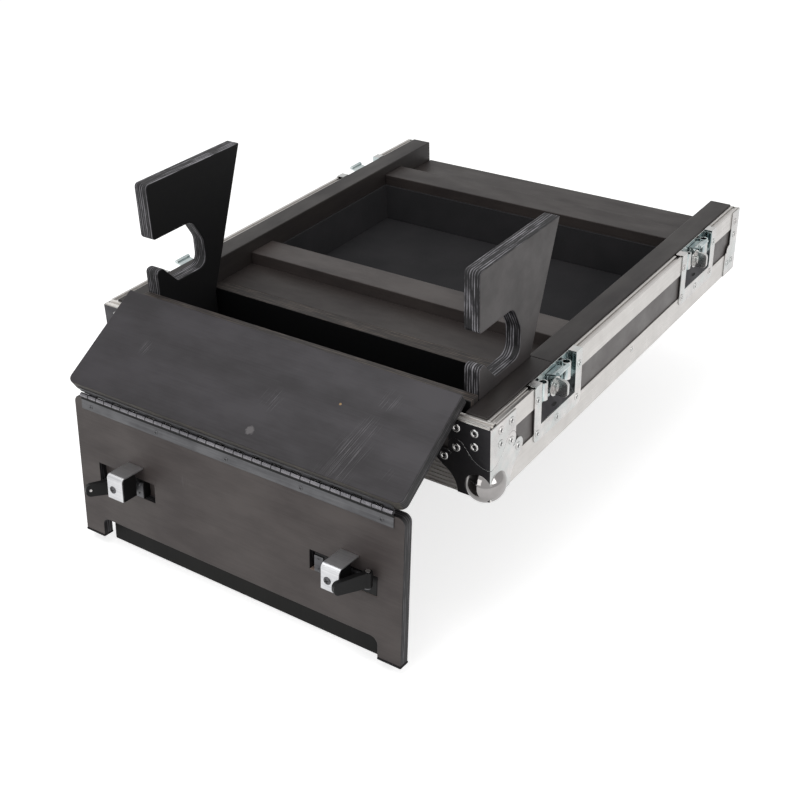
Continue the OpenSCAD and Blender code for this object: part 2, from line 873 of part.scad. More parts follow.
// Short necks that join each knuckle to a leaf that lies beyond the barrel
module leaf_necks(n, own, reach) {
    p = pitch_of(n);
    for (i = [own : 2 : n - 1]) {
        translate([-hinge_l / 2 + i * p + knuckle_gap / 2, 0, 0])
            cube([p - knuckle_gap, reach, barrel_r]);
    }
}

module piano_hinge_pin() {
    color(ZINC) upper_frame() translate([0, piano_y, piano_z]) hinge_pin();
}

module piano_lower_leaf() {
    color(ZINC) lower_frame() difference() {
        union() {
            leaf_knuckles(knuckles, 0);
            difference() {
                span([-hinge_l / 2, face_y - leaf_t, -lower_leaf_w], [hinge_l / 2, face_y, 0]);
                knuckle_slots(knuckles, 1);
            }
        }
        pin_bore();
    }
}

// Outline of the lower flap in (x, z): a panel with a notch between two legs
module lower_outline() {
    translate([-flap_w / 2 + flap_r, flap_top_z - lower_len]) square([flap_w - 2 * flap_r, lower_len]);
    translate([-flap_w / 2, flap_low_z]) square([flap_w, lower_len - flap_r]);
    for (s = [-1, 1]) {
        translate([s * (flap_w / 2 - flap_r), flap_top_z - flap_r]) circle(flap_r);
    }
}

// Notch in (x, z) with round upper corners
module notch_outline() {
    w = flap_w - 2 * leg_w;
    translate([-w / 2 + notch_r, flap_low_z - 1]) square([w - 2 * notch_r, notch_d + 1]);
    translate([-w / 2, flap_low_z - 1]) square([w, notch_d + 1 - notch_r]);
    for (s = [-1, 1]) {
        translate([s * (w / 2 - notch_r), notch_z - notch_r]) circle(notch_r);
    }
}

module lower_flap() {
    color(WOOD) lower_frame() difference() {
        on_face(lower_t) difference() {
            lower_outline();
            notch_outline();
        }
        both_sides() span([recess_x - recess_w, face_y - 1, -recess_drop - recess_h],
            [recess_x, face_y + recess_d, -recess_drop]);
    }
}

module cable_curtain() {
    w = flap_w / 2 - leg_w - 4;
    back = face_y + lower_t;
    color(RUBBER) lower_frame()
        span([-w, back, notch_z - curtain_drop], [w, back + curtain_t, notch_z + curtain_lap]);
}

module flap_feet() {
    color(RUBBER) lower_frame() both_sides()
        span([flap_w / 2 - leg_w, face_y - 0.5, flap_low_z - foot_t],
            [flap_w / 2 + 0.5, face_y + lower_t + 0.5, flap_low_z]);
}

// Latch pieces are drawn for the +X side: x0 is the bracket's outer side, x1 the plate's inner side
recess_in = recess_x - recess_w;
recess_mid = -recess_drop - recess_h / 2;
bracket_y = face_y - bracket_d;
left_lever_top = -bracket_drop - left_lever_drop;
right_lever_top = -bracket_drop - right_lever_drop;
left_pin_x = left_bracket_x + left_pivot_side;
right_pin_x = right_bracket_x + right_pivot_side;
lever_pin_y = face_y - pivot_front;
left_leaf_x = left_bracket_x - left_leaf_in;
right_leaf_x = right_bracket_x - right_leaf_in;
tab_r = 4;
plate_gap = 1.2;
pin_head_h = 0.8;
pin_head_r = lever_pin_r + 0.8;
// Distance from a lever's lower end down to the lower side of its tab
tab_step = run_gap + plate_t;

// Puts the first child on the left latch, mirrored, and the second one on the right latch
module latch_pair() {
    mirror([1, 0, 0]) children(0);
    children(1);
}

// Pivot plate: a leaf on the insert's face from x = leaf_x, and a tab under the lever for its pin
module pivot_plate(x0, leaf_x, px, z) {
    span([leaf_x, face_y - plate_gap, z], [x0 + 5, face_y, -recess_drop - 1]);
    difference() {
        union() {
            translate([px, lever_pin_y, z]) cylinder(plate_t, tab_r, tab_r);
            span([x0 + 1, lever_pin_y - tab_r, z], [px, lever_pin_y + tab_r, z + plate_t]);
            span([leaf_x, lever_pin_y + tab_r, z], [x0 + 5, face_y, z + plate_t]);
        }
        translate([px, lever_pin_y, z - 1]) cylinder(plate_t + 2, lever_pin_r, lever_pin_r);
    }
}

// Plastic body: an insert in the recess, a post beside leaf_x and the block under the bracket
module latch_body(x0, x1, leaf_x, px) {
    inner = x0 - bracket_w;
    low = -bracket_drop - bracket_h - 0.5;
    front = bracket_y + bracket_t + fit_gap;
    back = face_y - 12;
    bend = bend_r - bracket_t;
    top = -bracket_drop - bracket_t - fit_gap;
    span([x1, face_y, -recess_drop - recess_h + fit_gap],
        [min(px + tab_r + 2, recess_x - fit_gap), face_y + recess_d, -recess_drop - fit_gap]);
    span([leaf_x - 6.5, back - 1, -recess_drop - recess_h + 4], [leaf_x - 0.5, face_y, -recess_drop - 1]);
    translate([inner, 0, 0]) rotate([90, 0, 90]) linear_extrude(bracket_w - 1) {
        translate([front, low]) square([back - front, top - bend - low]);
        translate([front + bend, top - bend]) square([back - front - bend, bend]);
        translate([front + bend, top - bend]) intersection() {
            circle(bend);
            translate([-bend, 0]) square(bend);
        }
    }
}

module latch_bodies() {
    color(RUBBER) lower_frame() latch_pair() {
        latch_body(left_bracket_x, recess_in + left_plate_in, left_leaf_x, left_pin_x);
        latch_body(right_bracket_x, recess_in + right_plate_in, right_leaf_x, right_pin_x);
    }
}

// Bent bracket: a flange out from the flap and a face turned down in front
module latch_bracket(x0) {
    top = -bracket_drop;
    translate([x0 - bracket_w, 0, 0]) rotate([90, 0, 90]) linear_extrude(bracket_w) {
        translate([bracket_y + bend_r, top - bracket_t]) square([bracket_d - bend_r, bracket_t]);
        translate([bracket_y, top - bracket_h]) square([bracket_t, bracket_h - bend_r]);
        translate([bracket_y + bend_r, top - bend_r]) intersection() {
            difference() {
                circle(bend_r);
                circle(bend_r - bracket_t);
            }
            translate([-bend_r, 0]) square(bend_r);
        }
    }
}

module latch_brackets() {
    color(ALU) lower_frame() latch_pair() {
        latch_bracket(left_bracket_x);
        latch_bracket(right_bracket_x);
    }
}

module latch_plate(x1) {
    span([x1, face_y - plate_gap, -recess_drop - recess_h + 1], [x1 + plate_w, face_y, -recess_drop - 3]);
}

module latch_plates() {
    color(ZINC) lower_frame() latch_pair() {
        union() {
            latch_plate(recess_in + left_plate_in);
            pivot_plate(left_bracket_x, left_leaf_x, left_pin_x, left_lever_top - lever_h - tab_step);
        }
        union() {
            latch_plate(recess_in + right_plate_in);
            pivot_plate(right_bracket_x, right_leaf_x, right_pin_x, right_lever_top - lever_h - tab_step);
        }
    }
}

// Lever pin: from under the tab to a small head above the lever
module lever_pin(px, top_z) {
    translate([px, lever_pin_y, top_z - lever_h - tab_step])
        cylinder(lever_h + tab_step + run_gap, lever_pin_r, lever_pin_r);
    translate([px, lever_pin_y, top_z + run_gap]) cylinder(pin_head_h, pin_head_r, pin_head_r);
}

module lever_pins() {
    color(ZINC) lower_frame() latch_pair() {
        lever_pin(left_pin_x, left_lever_top);
        lever_pin(right_pin_x, right_lever_top);
    }
}

// Pan head with its foot at y = 0, pointing to -Y
module pan_head(r, h) {
    rotate([90, 0, 0]) cylinder(h, r, r);
}

// Distances of the bracket's screw from the brackets' outer sides
left_screw_in = 8;
right_screw_in = bracket_w - 8;

// Screws of one latch: one in the bracket's face and two in the plate
module latch_screws(x0, x1, screw_in) {
    translate([x0 - screw_in, bracket_y, -bracket_drop - 17]) pan_head(4.4, 1.6);
    for (z = [-6, 6]) {
        translate([x1 + plate_w / 2, face_y - plate_gap, recess_mid + z]) pan_head(1.8, 0.8);
    }
}

module flap_screws() {
    color(ZINC) lower_frame() {
        latch_pair() {
            latch_screws(left_bracket_x, recess_in + left_plate_in, left_screw_in);
            latch_screws(right_bracket_x, recess_in + right_plate_in, right_screw_in);
        }
        for (i = [-2 : 2]) {
            translate([i * (hinge_l - 28) / 4, face_y - leaf_t, -lower_leaf_w + 5]) pan_head(2.6, 0.7);
        }
    }
}

// Lever in its own frame: the pin is Z at the origin, the tip points to +X, the inner side is -Y
module lever() {
    tip_r = 0.4 * tip_h;
    fall = (lever_h - tip_h) / 2;
    difference() {
        union() {
            translate([0, lever_t / 2, 0]) rotate([90, 0, 0]) linear_extrude(lever_t) {
                polygon([[0, 0], [lever_len * 0.3, 0], [lever_len - tip_r, -fall],
                    [lever_len - tip_r, -lever_h + fall], [lever_len * 0.3, -lever_h], [0, -lever_h]]);
                translate([lever_len - tip_r - 1, -lever_h + fall + tip_r])
                    square([tip_r + 1, tip_h - 2 * tip_r]);
                for (z = [-fall - tip_r, -lever_h + fall + tip_r]) {
                    translate([lever_len - tip_r, z]) circle(tip_r);
                }
            }
            translate([0, 0, -lever_h]) cylinder(lever_h, lever_t / 2 + 2, lever_t / 2 + 2);
        }
        translate([0, 0, -lever_h - 1]) cylinder(lever_h + 2, lever_pin_r + pin_gap, lever_pin_r + pin_gap);
        // blind eye near the tip
        translate([lever_len - 5.5, 2 - lever_t / 2, -lever_h / 2])
            rotate([90, 0, 0]) cylinder(lever_t, 2, 2);
    }
}

// Lever on its pin, turned in from straight ahead
module placed_lever(px, top_z, turned_in) {
    translate([px, lever_pin_y, top_z]) rotate([0, 0, -90 - turned_in]) lever();
}

module left_lever() {
    color(RUBBER) lower_frame() mirror([1, 0, 0]) placed_lever(left_pin_x, left_lever_top, -left_lever_out);
}

module right_lever() {
    color(RUBBER) lower_frame() placed_lever(right_pin_x, right_lever_top, right_lever_in);
}

// Frame of a wall latch: origin on the wall's face at the floor, +X out of the wall
module latch_frame(y, s) {
    tray_frame() mirror([s < 0 ? 1 : 0, 0, 0]) translate([half_w, y, 0]) children();
}

// Pressed dish with its flange, an open-topped recess, two rolled eyes and the spindle
module latch_dish() {
    // flange on the wall's face
    rotate([90, 0, 90]) linear_extrude(dish_t) difference() {
        dish_outline();
        translate([-bay_w / 2, bay_low]) square([bay_w, tray_h]);
    }
    // tongues over the wall's top beside the recess
    for (y = [-dish_w / 2 + 2, bay_w / 2]) {
        span([-bay_d, y, tray_h], [dish_t, y + (dish_w - bay_w) / 2 - 2, tray_h + dish_t]);
    }
    recess_box();
    // fixed spindle on the recess's back
    translate([-bay_d - dish_t / 2, 0, spindle_z]) rotate([0, 90, 0])
        cylinder(bay_d + dish_t / 2 - 0.5, spindle_r, spindle_r);
    for (s = [-1, 1]) {
        translate([0, s * eye_pitch / 2, 0]) rolled_eye();
    }
}

// Outline of the flange in (y, z), with round lower corners
module dish_outline() {
    r = 7;
    translate([-dish_w / 2, dish_low + r]) square([dish_w, tray_h - dish_low - r]);
    translate([-dish_w / 2 + r, dish_low]) square([dish_w - 2 * r, 2 * r]);
    for (s = [-1, 1]) {
        translate([s * (dish_w / 2 - r), dish_low + r]) circle(r);
    }
}

// Walls, back and slanted floor of the recess
module recess_box() {
    back = -bay_d - dish_t;
    difference() {
        translate([0, bay_w / 2 + dish_t, 0]) rotate([90, 0, 0]) linear_extrude(bay_w + 2 * dish_t)
            polygon([[0, bay_low - 2 * dish_t], [back, bay_low + bay_rise - dish_t],
                [back, tray_h], [0, tray_h]]);
        translate([0, bay_w / 2, 0]) rotate([90, 0, 0]) linear_extrude(bay_w)
            polygon([[2 * dish_t, bay_low], [0, bay_low], [-bay_d, bay_low + bay_rise],
                [-bay_d, tray_h + 2 * dish_t], [2 * dish_t, tray_h + 2 * dish_t]]);
    }
}

// Rolled eye at the recess's back, an upright tube on a web
module rolled_eye() {
    x = -bay_d + eye_r - 0.6;
    difference() {
        union() {
            translate([x, 0, eye_top - eye_len]) cylinder(eye_len, eye_r, eye_r);
            span([-bay_d, -2, eye_top - eye_len], [x, 2, eye_top]);
        }
        translate([x, 0, eye_top - eye_len - 1]) cylinder(eye_len + 2, eye_r - 1.5, eye_r - 1.5);
    }
}

module latch_dishes() {
    color(ZINC) {
        for (s = [-1, 1]) {
            for (y = [near_latch_y, far_latch_y]) {
                latch_frame(y, s) latch_dish();
            }
        }
    }
}

// Turning wing: a disc on the spindle with a thick round grip across it
module wing() {
    back = -bay_d + 4.6;
    difference() {
        union() {
            translate([back, 0, 0]) rotate([0, 90, 0]) cylinder(1.6, wing_r, wing_r);
            translate([back - 0.8, 0, 0]) rotate([0, 90, 0]) cylinder(6, spindle_r + 2.5, spindle_r + 2.5);
            translate([0, grip_t / 2, 0]) rotate([90, 0, 0]) linear_extrude(grip_t) grip_outline(back);
        }
        translate([-bay_d, 0, 0]) rotate([0, 90, 0])
            cylinder(bay_d + 0.5, spindle_r + pin_gap, spindle_r + pin_gap);
    }
}

// Outline of the grip in (x, z), with a round front
module grip_outline(back) {
    r = 5;
    translate([back, -grip_h]) square([grip_out - r - back, 2 * grip_h]);
    for (s = [-1, 1]) {
        translate([grip_out - r, s * (grip_h - r)]) circle(r);
    }
    translate([grip_out - r, -grip_h + r]) square([r, 2 * grip_h - 2 * r]);
}

module placed_wing(y, s) {
    color(ZINC) latch_frame(y, s) translate([0, 0, spindle_z]) wing();
}

module near_left_wing() {
    placed_wing(near_latch_y, -1);
}

module near_right_wing() {
    placed_wing(near_latch_y, 1);
}

module far_left_wing() {
    placed_wing(far_latch_y, -1);
}

module far_right_wing() {
    placed_wing(far_latch_y, 1);
}

// Hook plate behind the wing, with a rolled lip that reaches out over the wall's face
module latch_hook() {
    back = -bay_d + run_gap;
    front = back + 1.6;
    low = bay_low + bay_rise + hook_travel + 1;
    slot_r = spindle_r + 0.5;
    difference() {
        translate([0, lip_w / 2, 0]) rotate([90, 0, 0]) linear_extrude(lip_w) {
            polygon([[back, low], [front, low], [front, lip_z - 5], [lip_out, lip_z - lip_r],
                [lip_out, lip_z - lip_r + 1.8], [back, lip_z - 3.6]]);
            translate([lip_out, lip_z]) circle(lip_r);
        }
        // slot that clears the spindle over the whole travel
        translate([back - 1, -slot_r, spindle_z - slot_r]) cube([4, 2 * slot_r, hook_travel + 2 * slot_r]);
    }
}

module placed_hook(y, s) {
    color(ZINC) latch_frame(y, s) latch_hook();
}

module near_left_latch_hook() {
    placed_hook(near_latch_y, -1);
}

module near_right_latch_hook() {
    placed_hook(near_latch_y, 1);
}

module far_left_latch_hook() {
    placed_hook(far_latch_y, -1);
}

module far_right_latch_hook() {
    placed_hook(far_latch_y, 1);
}

base_board();
left_wall();
right_wall();
near_wall();
far_wall();
left_top_extrusion();
right_top_extrusion();
near_top_extrusion();
left_bottom_angle();
right_bottom_angle();
near_bottom_angle();
far_bottom_angle();
left_rail();
right_rail();
left_near_rail();
right_near_rail();
mid_beam();
far_batten();
deck();
far_ledge();
board_cleats();
divider();
well_floor_foam();
well_side_foam();
hinge_board();
left_hook();
right_hook();
near_corner_braces();
ball_corners();
far_corner_plates();
rivets();
board_hinge_leaf();
board_hinge_pin();
flap_hinge_leaf();
upper_flap();
piano_upper_leaf();
piano_hinge_pin();
piano_lower_leaf();
lower_flap();
cable_curtain();
flap_feet();
latch_bodies();
latch_brackets();
latch_plates();
lever_pins();
flap_screws();
left_lever();
right_lever();
latch_dishes();
near_left_wing();
near_right_wing();
far_left_wing();
far_right_wing();
near_left_latch_hook();
near_right_latch_hook();
far_left_latch_hook();
far_right_latch_hook();
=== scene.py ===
# %% [markdown]
# Mixer flight case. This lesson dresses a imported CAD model: every wooden board,
# extrusion, hinge and latch gets its real edge, its real finish and its small
# fittings. The model comes in first, because every piece is placed against it.

# %% Load the fixed frame
import json
import math

import bmesh
import bpy
from mathutils import Matrix, Vector


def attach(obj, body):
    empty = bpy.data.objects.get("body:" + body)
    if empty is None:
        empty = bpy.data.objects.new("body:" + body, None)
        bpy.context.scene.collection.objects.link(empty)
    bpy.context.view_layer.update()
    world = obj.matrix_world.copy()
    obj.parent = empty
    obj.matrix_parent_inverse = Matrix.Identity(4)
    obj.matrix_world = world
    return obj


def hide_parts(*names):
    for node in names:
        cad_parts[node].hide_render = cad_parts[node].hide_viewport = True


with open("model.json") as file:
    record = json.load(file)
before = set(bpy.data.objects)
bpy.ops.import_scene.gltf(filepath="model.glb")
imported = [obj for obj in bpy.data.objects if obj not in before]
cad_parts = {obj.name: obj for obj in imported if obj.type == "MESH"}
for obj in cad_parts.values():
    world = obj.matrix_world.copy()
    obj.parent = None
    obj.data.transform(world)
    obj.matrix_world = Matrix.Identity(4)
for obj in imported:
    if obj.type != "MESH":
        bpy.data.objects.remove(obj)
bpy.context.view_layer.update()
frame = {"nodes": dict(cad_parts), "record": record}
record = frame["record"]
BODY_OF = {n: b for b, nodes in record["behaviour"]["bodies"].items() for n in nodes}
MM = 0.001

# %% [markdown]
# Colours are written as the sRGB hex values that one would pick from a swatch.
# Shaders want linear light, so one function converts them. A second function
# adds any node with its settings, ramp colours and links, and gives back an
# output; a list links several sockets to one input. A third opens a material.
# Pattern sizes are written in mm, as the length, width and depth of one cell,
# since a Mapping node of the texture kind divides by its scale.

# %% Colour and node helpers
def linear(code):
    """An sRGB hex value as linear RGBA."""
    out = []
    for k in (1, 3, 5):
        v = int(code[k:k + 2], 16) / 255
        out.append(v / 12.92 if v <= 0.04045 else ((v + 0.055) / 1.055) ** 2.4)
    return (*out, 1.0)


def add(tree, kind, inputs=None, out=0, stops=(), **settings):
    """Adds a node, sets its attributes, ramp stops and inputs, and returns one output."""
    node = tree.nodes.new(kind)
    for name, value in settings.items():
        setattr(node, name, value)
    for i, (at, code) in enumerate(stops):
        ends = node.color_ramp.elements
        end = ends[i] if i < len(ends) else ends.new(at)
        end.position, end.color = at, linear(code)
    for key, value in (inputs or {}).items():
        for source in value if isinstance(value, list) else [value]:
            if isinstance(source, bpy.types.NodeSocket):
                tree.links.new(source, node.inputs[key])
            else:
                node.inputs[key].default_value = source
    return node.outputs[out] if node.outputs else node


def new_material(name, rough, metal=0.0, ior=None):
    """An empty Principled material with its tree, shader and Object coordinates."""
    mat = bpy.data.materials.new(name)
    mat.use_nodes = True
    tree = mat.node_tree
    shader = tree.nodes["Principled BSDF"]
    shader.inputs["Roughness"].default_value = rough
    shader.inputs["Metallic"].default_value = metal
    if ior:
        shader.inputs["IOR"].default_value = ior
    return mat, tree, shader, add(tree, "ShaderNodeTexCoord", out="Object")


def mm(*values):
    return tuple(v * MM for v in values)


print("orange check:", [round(v, 3) for v in linear("#ff8000")[:3]])

# %% [markdown]
# The boards are birch plywood with a dark water stain, satin to the eye. The
# stain leaves soft patches and lets the grain show as fine darker lines. Wave
# rings would draw a knotty board, but peeled birch is plain, so both come from
# noise stretched along the grain: a line is about 2 mm wide, a patch 45 mm. The
# cover flaps lie at a slope, so their pattern is turned with the board. Hair
# scratches are noise too, kept inside round bundles.

# %% Stained plywood faces
PATCH, GRAIN, HAIR = (110, 45, 45), (70, 1.9, 1.9), (60, 0.8, 60)
HAIR_TURN, HAIR_COLOUR = math.radians(78), "#716f72"


def stained_plywood(name, dark, light, turn=(0, 0, 0), rough=0.5, scratch=(), spots=()):
    """Stained face: scratch holds bundles (centre, radius in mm), spots (centre, radius, hex, strength)."""
    mat, tree, shader, place = new_material(name, rough, ior=1.38)
    flat = add(tree, "ShaderNodeMapping", {"Vector": place, "Rotation": turn}, vector_type="TEXTURE")
    broad = add(tree, "ShaderNodeMapping", {"Vector": flat, "Scale": mm(*PATCH)}, vector_type="TEXTURE")
    fine = add(tree, "ShaderNodeMapping", {"Vector": flat, "Scale": mm(*GRAIN)}, vector_type="TEXTURE")
    patch = add(tree, "ShaderNodeTexNoise", {"Vector": broad, "Scale": 1.0, "Detail": 4.0,
                                             "Roughness": 0.6})
    grain = add(tree, "ShaderNodeTexNoise", {"Vector": fine, "Scale": 1.0, "Detail": 3.0,
                                             "Roughness": 0.6, "Distortion": 0.3})
    tone = add(tree, "ShaderNodeMath", {0: patch, 1: 0.8}, operation="MULTIPLY")
    tone = add(tree, "ShaderNodeMath", {0: grain, 1: 0.2, 2: tone}, operation="MULTIPLY_ADD")
    colour = add(tree, "ShaderNodeValToRGB", {"Fac": tone}, stops=[(0.38, dark), (0.60, light)])
    if scratch:
        # hair scratches that run across the board, in bundles at the places given
        line = add(tree, "ShaderNodeMapping", {"Vector": flat, "Rotation": (0, 0, HAIR_TURN),
                                               "Scale": mm(*HAIR)}, vector_type="TEXTURE")
        line = add(tree, "ShaderNodeTexNoise", {"Vector": line, "Scale": 1.0, "Detail": 2.0,
                                                "Roughness": 0.6})
        line = add(tree, "ShaderNodeMapRange", {"Value": line, "From Min": 0.56, "From Max": 0.66})
        gate = 0.0
        for centre, radius in scratch:
            away = add(tree, "ShaderNodeVectorMath", {0: place, 1: centre}, out="Value",
                       operation="DISTANCE")
            near = add(tree, "ShaderNodeMapRange", {"Value": away, "From Min": radius * MM,
                                                    "From Max": 0.3 * radius * MM})
            gate = add(tree, "ShaderNodeMath", {0: near, 1: gate}, operation="MAXIMUM")
        ragged = add(tree, "ShaderNodeTexNoise", {"Vector": place, "Scale": 70.0, "Detail": 2.0})
        gate = add(tree, "ShaderNodeMath", {0: gate, 1: ragged}, operation="MULTIPLY")
        mask = add(tree, "ShaderNodeMath", {0: line, 1: gate}, operation="MULTIPLY")
        colour = add(tree, "ShaderNodeMix", {0: mask, 6: colour, 7: linear(HAIR_COLOUR)}, out=2,
                     data_type="RGBA")
    for centre, radius, code, strength in spots:
        away = add(tree, "ShaderNodeVectorMath", {0: place, 1: centre}, out="Value", operation="DISTANCE")
        blur = add(tree, "ShaderNodeTexNoise", {"Vector": place, "Scale": 420.0, "Detail": 3.0})
        reach = radius * MM
        rim = add(tree, "ShaderNodeMath", {0: blur, 1: reach * 0.9, 2: away}, operation="MULTIPLY_ADD")
        mask = add(tree, "ShaderNodeMapRange", {"Value": rim, "From Min": reach * 1.35,
                                                "From Max": reach * 1.05, "To Max": strength})
        colour = add(tree, "ShaderNodeMix", {0: mask, 6: colour, 7: linear(code)}, out=2, data_type="RGBA")
    tree.links.new(colour, shader.inputs["Base Color"])
    sheen = add(tree, "ShaderNodeMapRange", {"Value": patch, "From Min": 0.3, "From Max": 0.7,
                                             "To Min": rough + 0.08, "To Max": rough - 0.06})
    tree.links.new(sheen, shader.inputs["Roughness"])
    relief = add(tree, "ShaderNodeBump", {"Height": grain, "Strength": 0.5, "Distance": 0.12 * MM})
    tree.links.new(relief, shader.inputs["Normal"])
    return mat


SLOPE = math.radians(30.25)
TILT = math.radians(5.1)
board_face = stained_plywood("stained_birch_board", "#221d1c", "#302b29")
beam_face = stained_plywood("stained_birch_beam", "#2c2726", "#3d3735", rough=0.48)
rail_face = stained_plywood("stained_birch_rail", "#1b1717", "#282422", turn=(0, 0, math.pi / 2))
print("board finishes:", board_face.name, beam_face.name, rail_face.name)

# %% [markdown]
# A cut edge of plywood shows its veneers: thin layers, some end grain and dark,
# some long grain and lighter. Strips of geometry could show them, but they have
# no depth to speak of. They run along the edge, so the noise is fine across the
# board's thickness (a veneer is about 1.4 mm) and very long the other two ways.
# Black paint has filled them, and wear shows as pale broken streaks.

# %% Veneered edges
STREAK_LONG, STREAK_WIDE = 35, 2.2


def veneer_edge(name, axis, dark, mid, pale, turn=(0, 0, 0), wear=0.8):
    """Layers that change along one axis, 0 to 2; wear is the tone from which they are pale."""
    mat, tree, shader, place = new_material(name, 0.62, ior=1.4)
    streak_size = [STREAK_LONG] * 3
    streak_size[axis] = STREAK_WIDE
    turned = add(tree, "ShaderNodeMapping", {"Vector": place, "Rotation": turn}, vector_type="TEXTURE")
    fine = add(tree, "ShaderNodeMapping", {"Vector": place, "Rotation": turn,
                                           "Scale": mm(*streak_size)}, vector_type="TEXTURE")
    # a wave band is 0.314 / scale wide, so this gives one pair of layers in 2.8 mm
    layer = add(tree, "ShaderNodeTexWave", {"Vector": turned, "Scale": 112.0, "Distortion": 1.5,
                                            "Detail": 2.0, "Detail Scale": 0.2},
                out="Fac", bands_direction="XYZ"[axis])
    streak = add(tree, "ShaderNodeTexNoise", {"Vector": fine, "Scale": 1.0, "Detail": 4.0,
                                              "Roughness": 0.65, "Distortion": 0.2})
    worn = add(tree, "ShaderNodeTexNoise", {"Vector": place, "Scale": 60.0, "Detail": 3.0, "Roughness": 0.6})
    tone = add(tree, "ShaderNodeMath", {0: layer, 1: 0.2}, operation="MULTIPLY")
    tone = add(tree, "ShaderNodeMath", {0: streak, 1: 0.8, 2: tone}, operation="MULTIPLY_ADD")
    tone = add(tree, "ShaderNodeMath", {0: worn, 1: 0.2, 2: tone}, operation="MULTIPLY_ADD")
    colour = add(tree, "ShaderNodeValToRGB", {"Fac": tone}, stops=[(0.55, dark), (0.63, mid), (wear, pale)])
    tree.links.new(colour, shader.inputs["Base Color"])
    relief = add(tree, "ShaderNodeBump", {"Height": tone, "Strength": 0.6, "Distance": 0.35 * MM})
    tree.links.new(relief, shader.inputs["Normal"])
    return mat


UPPER_TURN, LOWER_TURN = (SLOPE, 0, 0), (-TILT, 0, 0)
board_edge = veneer_edge("stained_veneer_edge", 2, "#1d1a18", "#2c2825", "#4c443d")
hook_edge = veneer_edge("black_veneer_edge", 0, "#09080a", "#1a191c", "#8d8b90", wear=0.78)
divider_edge = veneer_edge("tan_veneer_edge", 1, "#1c1918", "#2c2725", "#564d46")
upper_edge = veneer_edge("cover_veneer_edge", 2, "#211f1c", "#332f2a", "#4a453c", UPPER_TURN)
side_edge = veneer_edge("cover_side_edge", 2, "#0b0b0c", "#1a191a", "#4b494b", UPPER_TURN)
lower_edge = veneer_edge("hanging_veneer_edge", 1, "#0b0a0c", "#1b1a1b", "#5b595d", LOWER_TURN)
print("edge finishes:", [m.name for m in (board_edge, hook_edge, divider_edge, upper_edge, side_edge,
                                          lower_edge)])

# %% [markdown]
# The walls and the outer faces of the hooks are plywood with a phenolic film, a
# hard satin skin. It is even in colour, a little mottled, and shines more than
# the stained boards. A clear coat would shine too sharply, so it is one layer
# whose roughness drifts with the mottle. The hooks' inner faces, the divider,
# the hinge board and the compartment's floor are painted black.

# %% Phenolic film and black paint
def phenolic_film(name, dark, light, rough, ior):
    mat, tree, shader, place = new_material(name, rough, ior=ior)
    mottle = add(tree, "ShaderNodeTexNoise", {"Vector": place, "Scale": 30.0, "Detail": 5.0,
                                              "Roughness": 0.6})
    speck = add(tree, "ShaderNodeTexNoise", {"Vector": place, "Scale": 900.0, "Detail": 2.0})
    colour = add(tree, "ShaderNodeValToRGB", {"Fac": mottle}, stops=[(0.35, dark), (0.65, light)])
    tree.links.new(colour, shader.inputs["Base Color"])
    sheen = add(tree, "ShaderNodeMapRange", {"Value": mottle, "From Min": 0.3, "From Max": 0.7,
                                             "To Min": rough + 0.06, "To Max": rough - 0.05})
    tree.links.new(sheen, shader.inputs["Roughness"])
    relief = add(tree, "ShaderNodeBump", {"Height": speck, "Strength": 0.4, "Distance": 0.05 * MM})
    tree.links.new(relief, shader.inputs["Normal"])
    return mat


wall_film = phenolic_film("phenolic_film_wall", "#464140", "#54504e", 0.42, 1.5)
hook_film = phenolic_film("phenolic_film_hook", "#2c2929", "#383434", 0.48, 1.42)
black_paint = phenolic_film("satin_black_paint", "#070708", "#0d0d0e", 0.5, 1.3)
print("films:", wall_film.name, hook_film.name, black_paint.name)

# %% [markdown]
# Metals. The extrusions are mill-finish aluminium: pale, with die lines along
# their length. The crosswise copy, on the end pieces, is painted lighter than the
# lengthwise one on the sides, to make up for the shade that falls on the ends.
# The corner fittings, dishes and rivets are zinc-plated steel, and the ball is
# chromed. A darker copy of the zinc is painted shade: on the near plates, where
# it also stands for their dark reflection, on the dish floors and slot rims, and
# in and round the rivet heads. The latches inside the dishes kept the bluish
# passivation that handling has rubbed off elsewhere. The hinges are greyer, and
# their barrels are glossier and painted lighter, a painted highlight. An
# anisotropic shader could draw the die lines, but stretched noise in the bump and
# the roughness also survives the export.

# %% Metals
def rolled_metal(name, dark, light, rough, line_size, depth=0.02, tint=None):
    """Metal with lines of the size given in mm, clouded, and tinted in places."""
    mat, tree, shader, place = new_material(name, rough, metal=1.0)
    drawn = add(tree, "ShaderNodeMapping", {"Vector": place, "Scale": mm(*line_size)},
                vector_type="TEXTURE")
    die = add(tree, "ShaderNodeTexNoise", {"Vector": drawn, "Scale": 1.0, "Detail": 3.0,
                                           "Roughness": 0.6})
    cloud = add(tree, "ShaderNodeTexNoise", {"Vector": place, "Scale": 35.0, "Detail": 4.0,
                                             "Roughness": 0.6})
    tone = add(tree, "ShaderNodeMath", {0: die, 1: 0.5}, operation="MULTIPLY")
    tone = add(tree, "ShaderNodeMath", {0: cloud, 1: 0.5, 2: tone}, operation="MULTIPLY_ADD")
    colour = add(tree, "ShaderNodeValToRGB", {"Fac": tone}, stops=[(0.36, dark), (0.64, light)])
    if tint:
        hue = add(tree, "ShaderNodeTexNoise", {"Vector": place, "Scale": 60.0, "Detail": 2.0})
        hue = add(tree, "ShaderNodeMapRange", {"Value": hue, "From Min": 0.42, "From Max": 0.66,
                                               "To Max": 0.6})
        colour = add(tree, "ShaderNodeMix", {0: hue, 6: colour, 7: linear(tint)}, out=2,
                     data_type="RGBA")
    tree.links.new(colour, shader.inputs["Base Color"])
    sheen = add(tree, "ShaderNodeMapRange", {"Value": tone, "From Min": 0.35, "From Max": 0.65,
                                             "To Min": rough + 0.05, "To Max": rough - 0.04})
    tree.links.new(sheen, shader.inputs["Roughness"])
    relief = add(tree, "ShaderNodeBump", {"Height": die, "Strength": 0.4, "Distance": depth * MM})
    tree.links.new(relief, shader.inputs["Normal"])
    return mat
